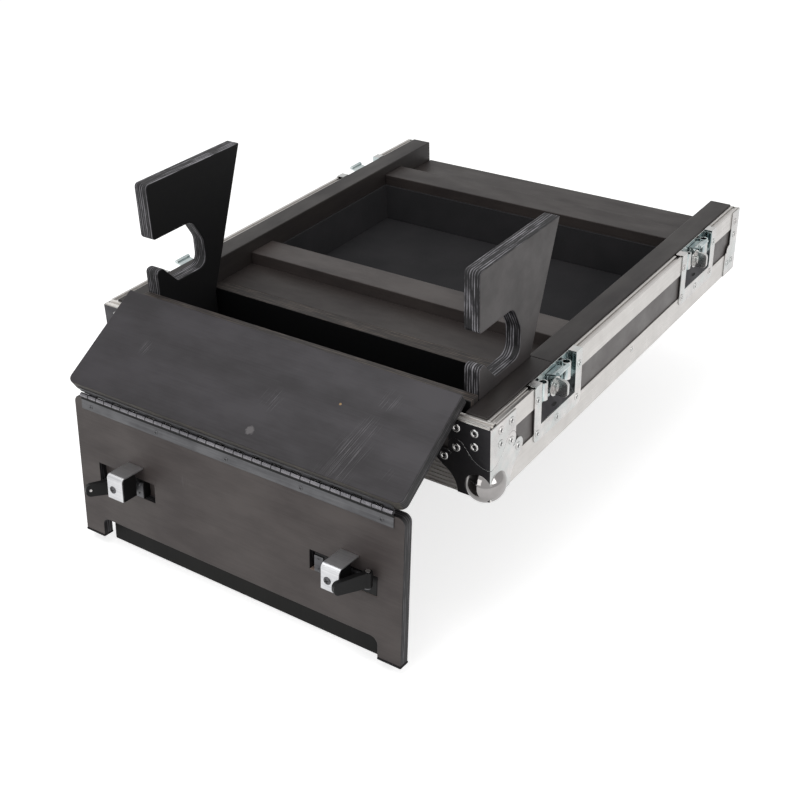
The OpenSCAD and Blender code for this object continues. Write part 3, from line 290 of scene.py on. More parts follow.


# one aluminium in two copies: the crosswise one, on the end pieces, is painted lighter to make up for the
# shade on the ends
side_aluminium = rolled_metal("mill_aluminium_lengthwise", "#b4b1ae", "#c2bfbc", 0.3, (0.8, 200, 0.8))
lit_end_aluminium = rolled_metal("mill_aluminium_crosswise_painted_light", "#c9c6c3", "#dbd8d4", 0.4, (200, 0.8, 0.8))
bracket_aluminium = rolled_metal("polished_aluminium_strip", "#b2b3b6", "#cfcfd0", 0.36, (100, 0.8, 0.8))
bright_zinc = rolled_metal("bright_zinc_plate", "#aeacab", "#c8c5c3", 0.24, (25, 25, 25), tint="#b3b9b8")
blue_zinc = rolled_metal("blue_zinc_latch", "#9aa5a6", "#c6cdcc", 0.16, (12, 12, 12), tint="#8c9da0")
# a darker copy of the same zinc plate, used as painted shade
shaded_zinc = rolled_metal("zinc_plate_painted_shade", "#38373a", "#4c4b4d", 0.36, (25, 25, 25))
rubbed_zinc = rolled_metal("rubbed_zinc_hinge", "#4c4c4e", "#616163", 0.44, (60, 3, 3))
# the hinge's own steel, glossier, and painted lighter on the barrels as a highlight
barrel_highlight_zinc = rolled_metal("polished_hinge_barrels_painted_highlight", "#646367", "#838185", 0.26, (3, 3, 3))
chrome_ball = rolled_metal("chromed_steel_ball", "#7f7d7c", "#949190", 0.08, (50, 50, 50))
print("metals:", [m.name for m in (side_aluminium, lit_end_aluminium, bracket_aluminium, bright_zinc,
                                   blue_zinc, shaded_zinc, rubbed_zinc, barrel_highlight_zinc, chrome_ball)])

# %% [markdown]
# Soft and moulded parts: closed-cell foam has a fine pitted skin and no shine,
# the curtain is matt rubber with a faint upright ribbing, the feet are moulded
# rubber, and the latch bodies and levers are moulded plastic with an even fine
# texture. One recipe serves them all, since only the grit and the gloss differ.
# A plain dark finish is painted shade, for the bottoms of holes, the crosses of screws and the slots of the
# hinges.

# %% Foam, rubber, plastic
def pitted(name, dark, light, rough, grit, depth, ior=1.5):
    """A matt skin with grit of the size and a bump of the depth given in mm."""
    mat, tree, shader, place = new_material(name, rough, ior=ior)
    sized = add(tree, "ShaderNodeMapping", {"Vector": place, "Scale": mm(*grit)}, vector_type="TEXTURE")
    grain = add(tree, "ShaderNodeTexNoise", {"Vector": sized, "Scale": 1.0, "Detail": 4.0,
                                             "Roughness": 0.65})
    cloud = add(tree, "ShaderNodeTexNoise", {"Vector": place, "Scale": 18.0, "Detail": 3.0})
    tone = add(tree, "ShaderNodeMath", {0: grain, 1: 0.4}, operation="MULTIPLY")
    tone = add(tree, "ShaderNodeMath", {0: cloud, 1: 0.6, 2: tone}, operation="MULTIPLY_ADD")
    colour = add(tree, "ShaderNodeValToRGB", {"Fac": tone}, stops=[(0.38, dark), (0.62, light)])
    tree.links.new(colour, shader.inputs["Base Color"])
    relief = add(tree, "ShaderNodeBump", {"Height": grain, "Strength": 0.5, "Distance": depth * MM})
    tree.links.new(relief, shader.inputs["Normal"])
    return mat


foam_skin = pitted("closed_cell_foam", "#1a1a1c", "#242325", 0.92, (1.7, 1.7, 1.7), 0.3, 1.35)
curtain_rubber = pitted("ribbed_rubber_sheet", "#080807", "#100f0e", 0.7, (2.4, 33, 170), 0.25, 1.3)
foot_rubber = pitted("moulded_rubber_foot", "#0b0a0b", "#131213", 0.65, (3.3, 3.3, 3.3), 0.1, 1.3)
latch_plastic = pitted("moulded_black_plastic", "#060607", "#0c0c0c", 0.45, (1.4, 1.4, 1.4), 0.06, 1.27)
bare_birch = stained_plywood("bare_birch_plywood", "#7b695f", "#a49388", rough=0.7)
# painted shade for hole mouths, screw crosses and hinge slots
painted_hollow_shade = pitted("painted_hollow_shade", "#060606", "#0b0b0b", 0.9, (3.3, 3.3, 3.3), 0.02)
print("soft finishes:", foam_skin.name, curtain_rubber.name, foot_rubber.name, latch_plastic.name)

# %% [markdown]
# The two cover flaps carry most of the wear. The upper one has hair scratches, a
# faint round rub mark and a small chip down to the wood. They could be painted
# on by hand, but a distance from a point needs no image and stays sharp. The
# places are given in mm on the flap, from its middle and from its hinge.

# %% Finish of the cover flaps
AXIS = Vector((0, -295.0, 93.2116)) * MM
PIN = Vector((0, -407.8169, 27.4187)) * MM
TOP_FACE, FRONT_FACE = 17.5, -0.7


def on_upper(x, out, up=TOP_FACE):
    """A point on the upper flap's top face: x, and the distance from the hinge axis, in mm."""
    c, s = math.cos(SLOPE), math.sin(SLOPE)
    return AXIS + Vector((x, -out * c - up * s, -out * s + up * c)) * MM


def on_lower(x, down, out=FRONT_FACE):
    """A point on the lower flap's front face: x, and the distance below the pin, in mm."""
    c, s = math.cos(-TILT), math.sin(-TILT)
    y, z = -out, -down
    return PIN + Vector((x, y * c - z * s, y * s + z * c)) * MM


MARK, CHIP = on_upper(27, 109), on_upper(104, 51)
BUNDLES = [(on_upper(x, out), r) for x, out, r in
           ((137, 122, 26), (142, 92, 24), (146, 66, 16), (152, 30, 14), (-152, 62, 12), (30, 70, 16),
            (190, 104, 9))]
upper_face = stained_plywood("stained_cover_upper", "#201d20", "#2f2c30", UPPER_TURN, 0.46, BUNDLES,
                             [(MARK, 6.0, "#6d6a6b", 0.6), (CHIP, 1.7, "#a08258", 0.8)])
lower_face = stained_plywood("stained_cover_lower", "#3b3534", "#494341", LOWER_TURN, 0.5,
                             [(on_lower(-60, 60), 9)])
print("mark on the upper flap at", [round(v, 4) for v in MARK], "and", len(BUNDLES), "bundles of scratches")

# %% [markdown]
# CAD solids have razor edges, and real boards and castings don't. Rounding them
# in the CAD would make every file heavy, so it is done here. Each node is
# copied, its loose triangles are joined, flat areas are merged, and a Bevel
# modifier rounds the edges by a real amount. Faces that look along the board's
# thickness get the face finish, and the others show the veneers.

# %% Dress a CAD node
def dressed(node, width, finish, edge=None, normal=(0, 0, 1), outer=None, smooth=32):
    """A copy of the node with edges rounded by width in mm.

    Side faces take edge, and those that look along the normal, away from the middle, take outer.
    """
    mesh = frame["nodes"][node].data.copy()
    mesh.name = node + "_skin"
    mesh.materials.clear()
    for mat in (finish, edge or finish, outer or finish):
        mesh.materials.append(mat)
    bm = bmesh.new()
    bm.from_mesh(mesh)
    bmesh.ops.remove_doubles(bm, verts=bm.verts, dist=4e-6)
    bmesh.ops.dissolve_limit(bm, angle_limit=math.radians(0.6), verts=bm.verts, edges=bm.edges)
    axis = Vector(normal).normalized()
    for face in bm.faces:
        face.smooth = True
        along = face.normal.dot(axis)
        if edge and abs(along) < 0.7:
            face.material_index = 1
        elif outer and along * (1 if face.calc_center_median().dot(axis) > 0 else -1) > 0.7:
            face.material_index = 2
        else:
            face.material_index = 0
    for e in bm.edges:
        e.smooth = len(e.link_faces) == 2 and e.calc_face_angle(0) < math.radians(smooth)
    bm.to_mesh(mesh)
    bm.free()
    piece = bpy.data.objects.new(node + "_piece", mesh)
    bpy.context.collection.objects.link(piece)
    if width:
        bevel = piece.modifiers.new("rounded edges", "BEVEL")
        bevel.width = width * MM
        bevel.segments = 2
        bevel.limit_method = "ANGLE"
        bevel.angle_limit = math.radians(smooth)
        bevel.harden_normals = True
    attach(piece, BODY_OF[node])
    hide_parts(node)
    return piece


X, Y, Z = (1, 0, 0), (0, 1, 0), (0, 0, 1)
PLAN = [
    # node, rounding in mm, face finish, edge finish, board's normal, third finish
    ("left_wall", 0.3, wall_film, None, X, None), ("right_wall", 0.3, wall_film, None, X, None),
    ("near_wall", 0.3, wall_film, None, Y, None), ("far_wall", 0.3, wall_film, None, Y, None),
    ("base_board", 0.4, wall_film, None, Z, black_paint),
    ("left_rail", 1.2, rail_face, None, Z, None), ("right_rail", 1.2, rail_face, None, Z, None),
    ("left_near_rail", 1.0, rail_face, None, Z, None), ("right_near_rail", 1.0, rail_face, None, Z, None),
    ("mid_beam", 1.0, beam_face, None, Z, None), ("far_batten", 1.0, board_face, None, Z, None),
    ("deck", 0.8, board_face, board_edge, Z, None), ("far_ledge", 0.8, board_face, board_edge, Z, None),
    ("divider", 0.8, black_paint, divider_edge, Y, None),
    ("hinge_board", 0.8, black_paint, divider_edge, Y, None),
    ("left_hook", 1.2, black_paint, hook_edge, X, hook_film),
    ("right_hook", 1.2, black_paint, hook_edge, X, hook_film),
    ("upper_flap", 1.2, upper_face, upper_edge, (0, -math.sin(SLOPE), math.cos(SLOPE)), side_edge),
    ("lower_flap", 1.0, lower_face, lower_edge, (0, math.cos(TILT), -math.sin(TILT)), bare_birch),
    ("left_top_extrusion", 0.5, side_aluminium, None, X, None),
    ("right_top_extrusion", 0.5, side_aluminium, None, X, None),
    ("near_top_extrusion", 0.5, lit_end_aluminium, None, X, None),
    ("left_bottom_angle", 0.5, side_aluminium, None, X, None),
    ("right_bottom_angle", 0.5, side_aluminium, None, X, None),
    ("near_bottom_angle", 0.25, lit_end_aluminium, None, X, None),
    ("far_bottom_angle", 0.5, lit_end_aluminium, None, X, None),
    ("near_corner_braces", 0.35, bright_zinc, shaded_zinc, X, None),
    ("ball_corners", 0.35, bright_zinc, chrome_ball, X, shaded_zinc),
    ("far_corner_plates", 0.35, bright_zinc, None, X, None),
    ("latch_dishes", 0.35, bright_zinc, shaded_zinc, X, blue_zinc),
    ("latch_brackets", 0.5, bracket_aluminium, None, X, None),
    ("latch_plates", 0.2, rubbed_zinc, None, X, None),
    ("latch_bodies", 0.6, latch_plastic, None, X, None),
    ("left_lever", 1.4, latch_plastic, None, X, None), ("right_lever", 1.4, latch_plastic, None, X, None),
    ("cable_curtain", 0.4, curtain_rubber, None, Y, None), ("flap_feet", 0.8, foot_rubber, None, Z, None),
    ("well_floor_foam", 0.5, foam_skin, None, Z, None), ("well_side_foam", 0.8, foam_skin, None, Z, None),
]
for side in ("near_left", "near_right", "far_left", "far_right"):
    PLAN.append((side + "_wing", 0.5, bright_zinc, None, X, None))
    PLAN.append((side + "_latch_hook", 0.3, blue_zinc, None, X, None))
PIECES = {row[0]: dressed(*row) for row in PLAN}
print(len(PIECES), "nodes dressed")

# %% [markdown]
# Some finishes go by place. The slanted floor of each latch dish takes the
# darker zinc, painted shade in the dish, and its inner walls are bluish. The
# corner's ball is chromed, and the plates on the near face take the same darker
# zinc, painted shade and dark reflection. In the right recess of the lower flap
# the stain never reached the floor of the cut, so the birch is bare there. The
# upper flap's two short edges are painted black, while its long edges are rubbed
# brown by handling. The base board is painted black on its upper side, which
# shows in the compartment. Faces are told by direction and place, as a painter
# would mask them.

# %% Finishes that go by place
# inside the walls' skin and under the top extrusion; the ball's middle and radius; the bare cut
SKIN, EXTRUSION_LOW = 254.5 * MM, 80 * MM
BALL_X, BALL_Y, BALL_Z, BALL_R = mm(242.5, -300, 12.5, 20.6)
CUT_TOP, CUT_LOW, CUT_X = mm(-100, -106, 100)
floors = 0
# the slanted dish floors take the shaded zinc: painted shade in the dish
for face in PIECES["latch_dishes"].data.polygons:
    slanted = abs(face.normal.x) > 0.7 and 0.5 < face.normal.z < 0.7
    inside = abs(face.center.x) < SKIN and face.center.z < EXTRUSION_LOW
    face.material_index = 1 if slanted else 2 if inside else 0
    floors += slanted
for face in PIECES["base_board"].data.polygons:
    face.material_index = 2 if face.normal.z > 0.9 else 0
# the near faces of the braces take the shaded zinc: painted shade and dark reflection
for face in PIECES["near_corner_braces"].data.polygons:
    face.material_index = 1 if face.normal.y < -0.9 else 0
# the ball is chromed, and the near faces of its plate take the shaded zinc as painted shade
for face in PIECES["ball_corners"].data.polygons:
    middle = Vector((math.copysign(BALL_X, face.center.x), BALL_Y, BALL_Z))
    ball = abs((face.center - middle).length - BALL_R) < 0.6 * MM
    face.material_index = 1 if ball else 2 if face.normal.y < -0.9 else 0
up = Vector((0, math.sin(TILT), math.cos(TILT)))
bare = 0
for face in PIECES["lower_flap"].data.polygons:
    if face.material_index == 2:
        face.material_index = 0
    height = (face.center - PIN).dot(up)
    if face.normal.dot(up) > 0.9 and face.center.x > CUT_X and CUT_LOW < height < CUT_TOP:
        face.material_index = 2
        bare += 1
for face in PIECES["upper_flap"].data.polygons:
    if abs(face.normal.x) > 0.7:
        face.material_index = 2
    elif face.material_index == 2:
        face.material_index = 0
print(floors, "dish floors and", bare, "bare cut")

# %% [markdown]
# Rivets, screws and hinge knuckles repeat, so Geometry Nodes make them. A tree
# gets named inputs for its sizes, and a small mesh of points says where the
# copies go and which way they face. The result is turned into a plain mesh,
# because the export drops instances, and the modifier is taken off again.

# %% Geometry Nodes helpers
def new_tree(name, inputs):
    """A geometry tree with named inputs; returns it with its ends and the inputs' identifiers."""
    tree = bpy.data.node_groups.new(name, "GeometryNodeTree")
    tree.interface.new_socket("Geometry", in_out="INPUT", socket_type="NodeSocketGeometry")
    ids = {}
    for label, kind, value in inputs:
        socket = tree.interface.new_socket(label, in_out="INPUT", socket_type="NodeSocket" + kind)
        socket.default_value = value
        ids[label] = socket.identifier
    tree.interface.new_socket("Geometry", in_out="OUTPUT", socket_type="NodeSocketGeometry")
    start = tree.nodes.new("NodeGroupInput")
    end = tree.nodes.new("NodeGroupOutput")
    return tree, start, end, ids


def close_tree(tree, end, *parts):
    """Ends each part of a tree, given with its finish, in Realize Instances and Set Material."""
    done = []
    for geometry, finish in parts:
        real = add(tree, "GeometryNodeRealizeInstances", {"Geometry": geometry})
        done.append(add(tree, "GeometryNodeSetMaterial", {"Geometry": real, "Material": finish}))
    tree.links.new(add(tree, "GeometryNodeJoinGeometry", {0: done}), end.inputs[0])


def grown(name, base, tree, ids, values, place=Matrix.Identity(4)):
    """Runs a tree on a base mesh and keeps the result as a plain mesh, set in place."""
    maker = bpy.data.objects.new(name + "_maker", base)
    bpy.context.collection.objects.link(maker)
    mod = maker.modifiers.new("grown", "NODES")
    mod.node_group = tree
    for label, value in values.items():
        mod[ids[label]] = value
    ready = maker.evaluated_get(bpy.context.evaluated_depsgraph_get())
    mesh = bpy.data.meshes.new_from_object(ready)
    maker.modifiers.remove(mod)
    bpy.data.objects.remove(maker)
    mesh.transform(place)
    if place.to_3x3().determinant() < 0:
        mesh.flip_normals()
    piece = bpy.data.objects.new(name, mesh)
    bpy.context.collection.objects.link(piece)
    return piece


def points(name, spots):
    """A mesh of loose points with a facing vector and a size for each."""
    mesh = bpy.data.meshes.new(name)
    mesh.from_pydata([tuple(Vector(p) * MM) for p, _, _ in spots], [], [])
    facing = mesh.attributes.new("facing", "FLOAT_VECTOR", "POINT")
    facing.data.foreach_set("vector", [c for _, v, _ in spots for c in v])
    size = mesh.attributes.new("head_size", "FLOAT", "POINT")
    size.data.foreach_set("value", [r * MM for _, _, r in spots])
    return mesh


def set_on_points(tree, start, shape):
    """Instances a shape of unit size on the points, turned and scaled by their attributes."""
    facing = add(tree, "GeometryNodeInputNamedAttribute", {"Name": "facing"}, data_type="FLOAT_VECTOR")
    size = add(tree, "GeometryNodeInputNamedAttribute", {"Name": "head_size"}, data_type="FLOAT")
    turn = add(tree, "FunctionNodeAlignRotationToVector", {"Vector": facing}, axis="Z")
    return add(tree, "GeometryNodeInstanceOnPoints", {"Points": start.outputs[0], "Instance": shape,
                                                      "Rotation": turn, "Scale": size})


print("helpers for repeated fittings are ready")

# %% [markdown]
# The corner fittings and latch dishes are held by tubular rivets. Their heads
# are rings: the tube has been rolled outwards and leaves a hollow in the middle.
# A torus could be copied by hand, but a tree takes new sizes at once. A ring is a
# small circle swept round a larger one, then flattened a little. A dark disc in
# the hollow is painted shade, and a wider dark disc round the foot of the head is
# a painted contact shadow.

# %% Rivet heads
def rivet_tree():
    tree, start, end, ids = new_tree("tubular rivet heads", [("Roll", "Float", 0.3),
                                                             ("Flatness", "Float", 0.8)])
    roll, flat = start.outputs[1], start.outputs[2]
    ring_r = add(tree, "ShaderNodeMath", {0: 1.0, 1: roll}, operation="SUBTRACT")
    path = add(tree, "GeometryNodeCurvePrimitiveCircle", {"Resolution": 20, "Radius": ring_r})
    section = add(tree, "GeometryNodeCurvePrimitiveCircle", {"Resolution": 10, "Radius": roll})
    ring = add(tree, "GeometryNodeCurveToMesh", {"Curve": path, "Profile Curve": section})
    squash = add(tree, "ShaderNodeCombineXYZ", {0: 1.0, 1: 1.0, 2: flat})
    ring = add(tree, "GeometryNodeTransform", {"Geometry": ring, "Scale": squash})
    # a dark disc in the hollow: painted shade
    disc = add(tree, "GeometryNodeMeshCircle", {"Vertices": 14, "Radius": ring_r}, fill_type="NGON")
    disc = add(tree, "GeometryNodeTransform", {"Geometry": disc, "Translation": (0, 0, 0.06)})
    ring = add(tree, "GeometryNodeSetShadeSmooth", {"Geometry": ring})
    # a wider dark disc round the foot of the head: painted contact shadow
    seat = add(tree, "GeometryNodeMeshCircle", {"Vertices": 20, "Radius": 1.14}, fill_type="NGON")
    seat = add(tree, "GeometryNodeTransform", {"Geometry": seat, "Translation": (0, 0, 0.015)})
    dark = add(tree, "GeometryNodeJoinGeometry", {0: [disc, seat]})
    close_tree(tree, end, (set_on_points(tree, start, ring), bright_zinc),
               (set_on_points(tree, start, dark), shaded_zinc))
    return tree, ids


HALF_W, HALF_L, NEAR_LATCH, FAR_LATCH = 255.0, 312.5, 136.0, 497.0
# mm from the near end, the far end or the latch's middle, and above the underside
CORNER = [(17.5, 74.4), (38, 74.4), (17.5, 59), (37.8, 52), (52, 37.8)]
FAR_PLATE = [(11, 70), (11, 52), (24, 16), (11, 16)]
DISH = [(-44, 30), (-45, 69.5), (-2, 28), (42, 30), (45, 69.5)]
PLATE_SHEET, DISH_SHEET = 1.2, 1.1
# radii in mm; the real 3.8 is drawn wider, so that the ring still shows in the picture
CORNER_HEAD, DISH_HEAD, ANGLE_HEAD = 4.7, 4.3, 3.6
spots = []
for s in (-1, 1):
    for u, z in CORNER:
        spots.append(((s * (HALF_W + PLATE_SHEET), u - HALF_L, z), (s, 0, 0), CORNER_HEAD))
        spots.append(((s * (HALF_W - u), -HALF_L - PLATE_SHEET, z), (0, -1, 0), CORNER_HEAD))
    for u, z in FAR_PLATE:
        spots.append(((s * (HALF_W + PLATE_SHEET), HALF_L - u, z), (s, 0, 0), DISH_HEAD))
    for y0 in (NEAR_LATCH, FAR_LATCH):
        for u, z in DISH:
            spots.append(((s * (HALF_W + DISH_SHEET), y0 + u - HALF_L, z), (s, 0, 0), DISH_HEAD))
    spots.append(((s * (HALF_W - 0.1), 5, 21.42), (s, 0, 0), ANGLE_HEAD))
tree, ids = rivet_tree()
rivets = grown("rivet_heads", points("rivet_points", spots), tree, ids, {"Roll": 0.3, "Flatness": 0.8})
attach(rivets, "tray")
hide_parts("rivets")
print(len(spots), "rivets,", len(rivets.data.polygons), "faces")

# %% [markdown]
# Each lever has a stud of the same kind in the blind eye near its tip. The lever
# points from its pin to (-sin, -cos) of its turn, and the eye is on its inner
# side. The tree is run again with a thicker ring, which leaves a smaller hollow.

# %% Studs in the levers
PIN_OUT, PIN_DROP, EYE_REACH, EYE_SIDE, STUD_HEAD = 8.3, 8.5, 32.5, 1.9, 1.9
# lever, its pin in X, its turn in degrees, the eye's side, the recess's top below the hinge pin
LEVERS = (("left_lever", -148.5, 33, 1, 81.8), ("right_lever", 184.0, 26, -1, 70.8))
for lever, pin_x, turn, side, top in LEVERS:
    c, s = math.cos(math.radians(turn)), math.sin(math.radians(turn))
    inward = Vector((side * c, -side * s, 0))
    eye = Vector((pin_x, -PIN_OUT, 0)) + EYE_REACH * Vector((-s, -c, 0)) + EYE_SIDE * inward
    facing = Matrix.Rotation(-TILT, 3, "X") @ inward
    seat = on_lower(eye.x, top + PIN_DROP, -eye.y) / MM
    stud = grown(lever + "_stud", points(lever + "_eye", [(tuple(seat), tuple(facing), STUD_HEAD)]),
                 tree, ids, {"Roll": 0.42, "Flatness": 0.8})
    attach(stud, lever)
    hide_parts(lever)
    print(lever, "stud at", [round(v, 1) for v in seat])

# %% [markdown]
# The floor of each latch dish, in the darker zinc that is painted shade, has two
# slots, 10 mm and 3.5 mm across. They could be cut through, but only their dark
# mouths show. A slot is an ellipse with a thin pressed rim, laid on the slope of
# the floor: the mouth is a dark disc of painted shade, and the rim is in the
# darker zinc too.

# %% Slots in the dish floors
def slot_tree():
    tree, start, end, ids = new_tree("pressed slots", [("Height", "Float", 0.35), ("Rim", "Float", 0.07)])
    shape = add(tree, "ShaderNodeCombineXYZ", {0: start.outputs[1], 1: 1.0, 2: 1.0})
    # the pressed rim takes the shaded zinc, painted shade
    edge = add(tree, "GeometryNodeCurvePrimitiveCircle", {"Resolution": 24, "Radius": 1.0})
    edge = add(tree, "GeometryNodeTransform", {"Geometry": edge, "Scale": shape})
    section = add(tree, "GeometryNodeCurvePrimitiveCircle", {"Resolution": 8, "Radius": start.outputs[2]})
    rim = add(tree, "GeometryNodeCurveToMesh", {"Curve": edge, "Profile Curve": section})
    # the slot's mouth is a dark disc: painted shade of the hole
    hole = add(tree, "GeometryNodeMeshCircle", {"Vertices": 24, "Radius": 1.0}, fill_type="NGON")
    hole = add(tree, "GeometryNodeTransform", {"Geometry": hole, "Scale": shape,
                                               "Translation": (0, 0, 0.03)})
    close_tree(tree, end, (set_on_points(tree, start, rim), shaded_zinc),
               (set_on_points(tree, start, hole), painted_hollow_shade))
    return tree, ids


SLOT_AT, SLOT_DEEP, SLOT_Z, SLOT_HALF = (-1, 30), 3.0, 42.0, 5.0
spots = []
for s in (-1, 1):
    for y0 in (NEAR_LATCH, FAR_LATCH):
        for u in SLOT_AT:
            spots.append(((s * (HALF_W - SLOT_DEEP), y0 + u - HALF_L, SLOT_Z), (0.8 * s, 0, 0.6),
                          SLOT_HALF))
tree, ids = slot_tree()
slots = grown("dish_slots", points("slot_points", spots), tree, ids, {"Height": 0.35, "Rim": 0.07})
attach(slots, "tray")
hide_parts("latch_dishes")
print(len(spots), "slots,", len(slots.data.polygons), "faces")

# %% [markdown]
# The flap's brackets, plates and hinge hold with cross-head screws. A cross cut
# out by a boolean would need many faces for so small a head, so a head is a
# shallow dome, and the cross is two dark bars let into its top, painted shade
# for the cut of the cross.

# %% Cross-head screws
def screw_tree():
    tree, start, end, ids = new_tree("cross-head screws", [("Dome", "Float", 0.36),
                                                           ("Slot", "Float", 0.2)])
    dome, slot = start.outputs[1], start.outputs[2]
    head = add(tree, "GeometryNodeMeshUVSphere", {"Segments": 20, "Rings": 10, "Radius": 1.0})
    low = add(tree, "ShaderNodeCombineXYZ", {0: 1.0, 1: 1.0, 2: dome})
    head = add(tree, "GeometryNodeTransform", {"Geometry": head, "Scale": low})
    head = add(tree, "GeometryNodeSetShadeSmooth", {"Geometry": head})
    # the cross's bars are dark: painted shade of the recess
    bars = []
    for turn in (0.35, 0.35 + math.pi / 2):
        size = add(tree, "ShaderNodeCombineXYZ", {0: 1.15, 1: slot, 2: dome})
        bar = add(tree, "GeometryNodeMeshCube", {"Size": size})
        half = add(tree, "ShaderNodeMath", {0: dome, 1: 0.53}, operation="MULTIPLY")
        lift = add(tree, "ShaderNodeCombineXYZ", {2: half})
        bars.append(add(tree, "GeometryNodeTransform", {"Geometry": bar, "Translation": lift,
                                                        "Rotation": (0, 0, turn)}))
    cross = add(tree, "GeometryNodeJoinGeometry", {0: bars})
    close_tree(tree, end, (set_on_points(tree, start, head), rubbed_zinc),
               (set_on_points(tree, start, cross), painted_hollow_shade))
    return tree, ids


OUT = Vector((0, -math.cos(TILT), math.sin(TILT)))
# across the flap, down from the pin, out from it, and the head's radius, in mm
BRACKET_SCREWS = [(x, 80.8, 32.3, 4.4) for x in (-134.5, 153)]
PLATE_SCREWS = [(x, 92 + k, 0.5, 1.8) for x in (-127.5, 118.5) for k in (-6, 6)]
HINGE_SCREWS = [(i * 96.5, 12, 0.3, 2.6) for i in (-2, -1, 0, 1, 2)]
spots = [(tuple(on_lower(x, down, out) / MM), tuple(OUT), r)
         for x, down, out, r in BRACKET_SCREWS + PLATE_SCREWS + HINGE_SCREWS]
tree, ids = screw_tree()
screws = grown("cross_head_screws", points("screw_points", spots), tree, ids, {"Dome": 0.36, "Slot": 0.2})
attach(screws, "lower_flap")
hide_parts("flap_screws")
print(len(spots), "screws,", len(screws.data.polygons), "faces")

# %% [markdown]
# A piano hinge is two strips whose edges are cut into tabs and rolled round a
# pin, in turn from one strip and the other. One barrel could be modelled and
# arrayed, but four leaves differ only in their numbers, so one tree makes any
# such leaf: a strip, its tabs, its barrels and a dark film of painted shade in
# its slots. The pin lies along X, and each leaf is then set in its own frame, on
# the board or flap.

# %% Hinge leaves
def leaf_tree():
    tree, start, end, ids = new_tree("rolled hinge leaf", [
        ("Knuckles", "Int", 17), ("First", "Float", 0.0), ("Step", "Float", 0.02),
        ("Knuckle length", "Float", 0.01), ("Radius", "Float", 0.0025), ("Width", "Float", 0.017),
        ("Length", "Float", 0.4), ("Reach", "Float", 0.001), ("Clear", "Float", 0.0029),
        ("Sheet", "Float", 0.001)])
    got = {o.name: o for o in start.outputs}

    def row(shape):
        """The shape at each of the leaf's own knuckles."""
        begin = add(tree, "ShaderNodeCombineXYZ", {0: got["First"]})
        step = add(tree, "ShaderNodeCombineXYZ", {0: got["Step"]})
        line = add(tree, "GeometryNodeMeshLine", {"Count": got["Knuckles"], "Start Location": begin,
                                                  "Offset": step}, mode="OFFSET")
        return add(tree, "GeometryNodeInstanceOnPoints", {"Points": line, "Instance": shape})

    def box(sx, y0, y1, z0, z1):
        """A box of width sx between two corners in Y and Z."""
        low = add(tree, "ShaderNodeCombineXYZ", {1: y0, 2: z0})
        high = add(tree, "ShaderNodeCombineXYZ", {1: y1, 2: z1})
        wide = add(tree, "ShaderNodeCombineXYZ", {0: sx})
        size = add(tree, "ShaderNodeVectorMath", {0: high, 1: low}, operation="SUBTRACT")
        size = add(tree, "ShaderNodeVectorMath", {0: size, 1: wide}, operation="ADD")
        at = add(tree, "ShaderNodeMix", {0: 0.5, 4: low, 5: high}, out=1, data_type="VECTOR")
        cube = add(tree, "GeometryNodeMeshCube", {"Size": size})
        return add(tree, "GeometryNodeTransform", {"Geometry": cube, "Translation": at})

    inner = add(tree, "ShaderNodeMath", {0: got["Reach"], 1: got["Sheet"]}, operation="SUBTRACT")
    low = add(tree, "ShaderNodeMath", {0: inner, 1: 0.0}, operation="MINIMUM")
    barrel = add(tree, "GeometryNodeMeshCylinder", {"Vertices": 24, "Radius": got["Radius"],
                                                    "Depth": got["Knuckle length"]})
    barrel = add(tree, "GeometryNodeTransform", {"Geometry": barrel, "Rotation": (0, math.pi / 2, 0)})
    strip = box(got["Length"], got["Clear"], got["Width"], inner, got["Reach"])
    # a tab slants from the far side of the barrel to the strip
    half = add(tree, "ShaderNodeMath", {0: got["Sheet"], 1: -0.5}, operation="MULTIPLY")
    crown = add(tree, "ShaderNodeMath", {0: got["Radius"], 1: half}, operation="ADD")
    crown = add(tree, "ShaderNodeCombineXYZ", {2: crown})
    foot = add(tree, "ShaderNodeMath", {0: got["Reach"], 1: half}, operation="ADD")
    foot = add(tree, "ShaderNodeCombineXYZ", {1: got["Clear"], 2: foot})
    span = add(tree, "ShaderNodeVectorMath", {0: foot, 1: crown}, out="Value", operation="DISTANCE")
    rise = add(tree, "ShaderNodeMath", {0: got["Reach"], 1: got["Radius"]}, operation="SUBTRACT")
    lean = add(tree, "ShaderNodeMath", {0: rise, 1: got["Clear"]}, operation="ARCTAN2")
    lean = add(tree, "ShaderNodeCombineXYZ", {0: lean})
    size = add(tree, "ShaderNodeCombineXYZ", {0: got["Knuckle length"], 1: span, 2: got["Sheet"]})
    middle = add(tree, "ShaderNodeMix", {0: 0.5, 4: crown, 5: foot}, out=1, data_type="VECTOR")
    tab = add(tree, "GeometryNodeMeshCube", {"Size": size})
    tab = add(tree, "GeometryNodeTransform", {"Geometry": tab, "Translation": middle,
                                              "Rotation": lean})
    neck = box(got["Knuckle length"], 0.0, 1.6 * MM, low, inner)
    flat = add(tree, "GeometryNodeJoinGeometry", {0: [strip, row(tab), row(neck)]})
    # a dark film along the slots is painted shade, and it hides the tabs of the leaf that hangs
    film = add(tree, "ShaderNodeMath", {0: inner, 1: 0.1 * MM}, operation="ADD")
    slot_shade = box(got["Length"], 2.6 * MM, got["Clear"], inner, film)
    close_tree(tree, end, (flat, rubbed_zinc), (row(barrel), barrel_highlight_zinc), (slot_shade, painted_hollow_shade))
    return tree, ids


def frame_matrix(origin, turn_x, u, v):
    """Matrix for a leaf: its own X, Y, Z become X, u and v of a frame turned about X."""
    local = Matrix((Vector((1, 0, 0)), Vector(u), Vector(v))).transposed()
    return Matrix.Translation(origin) @ Matrix.Rotation(turn_x, 4, "X") @ local.to_4x4()


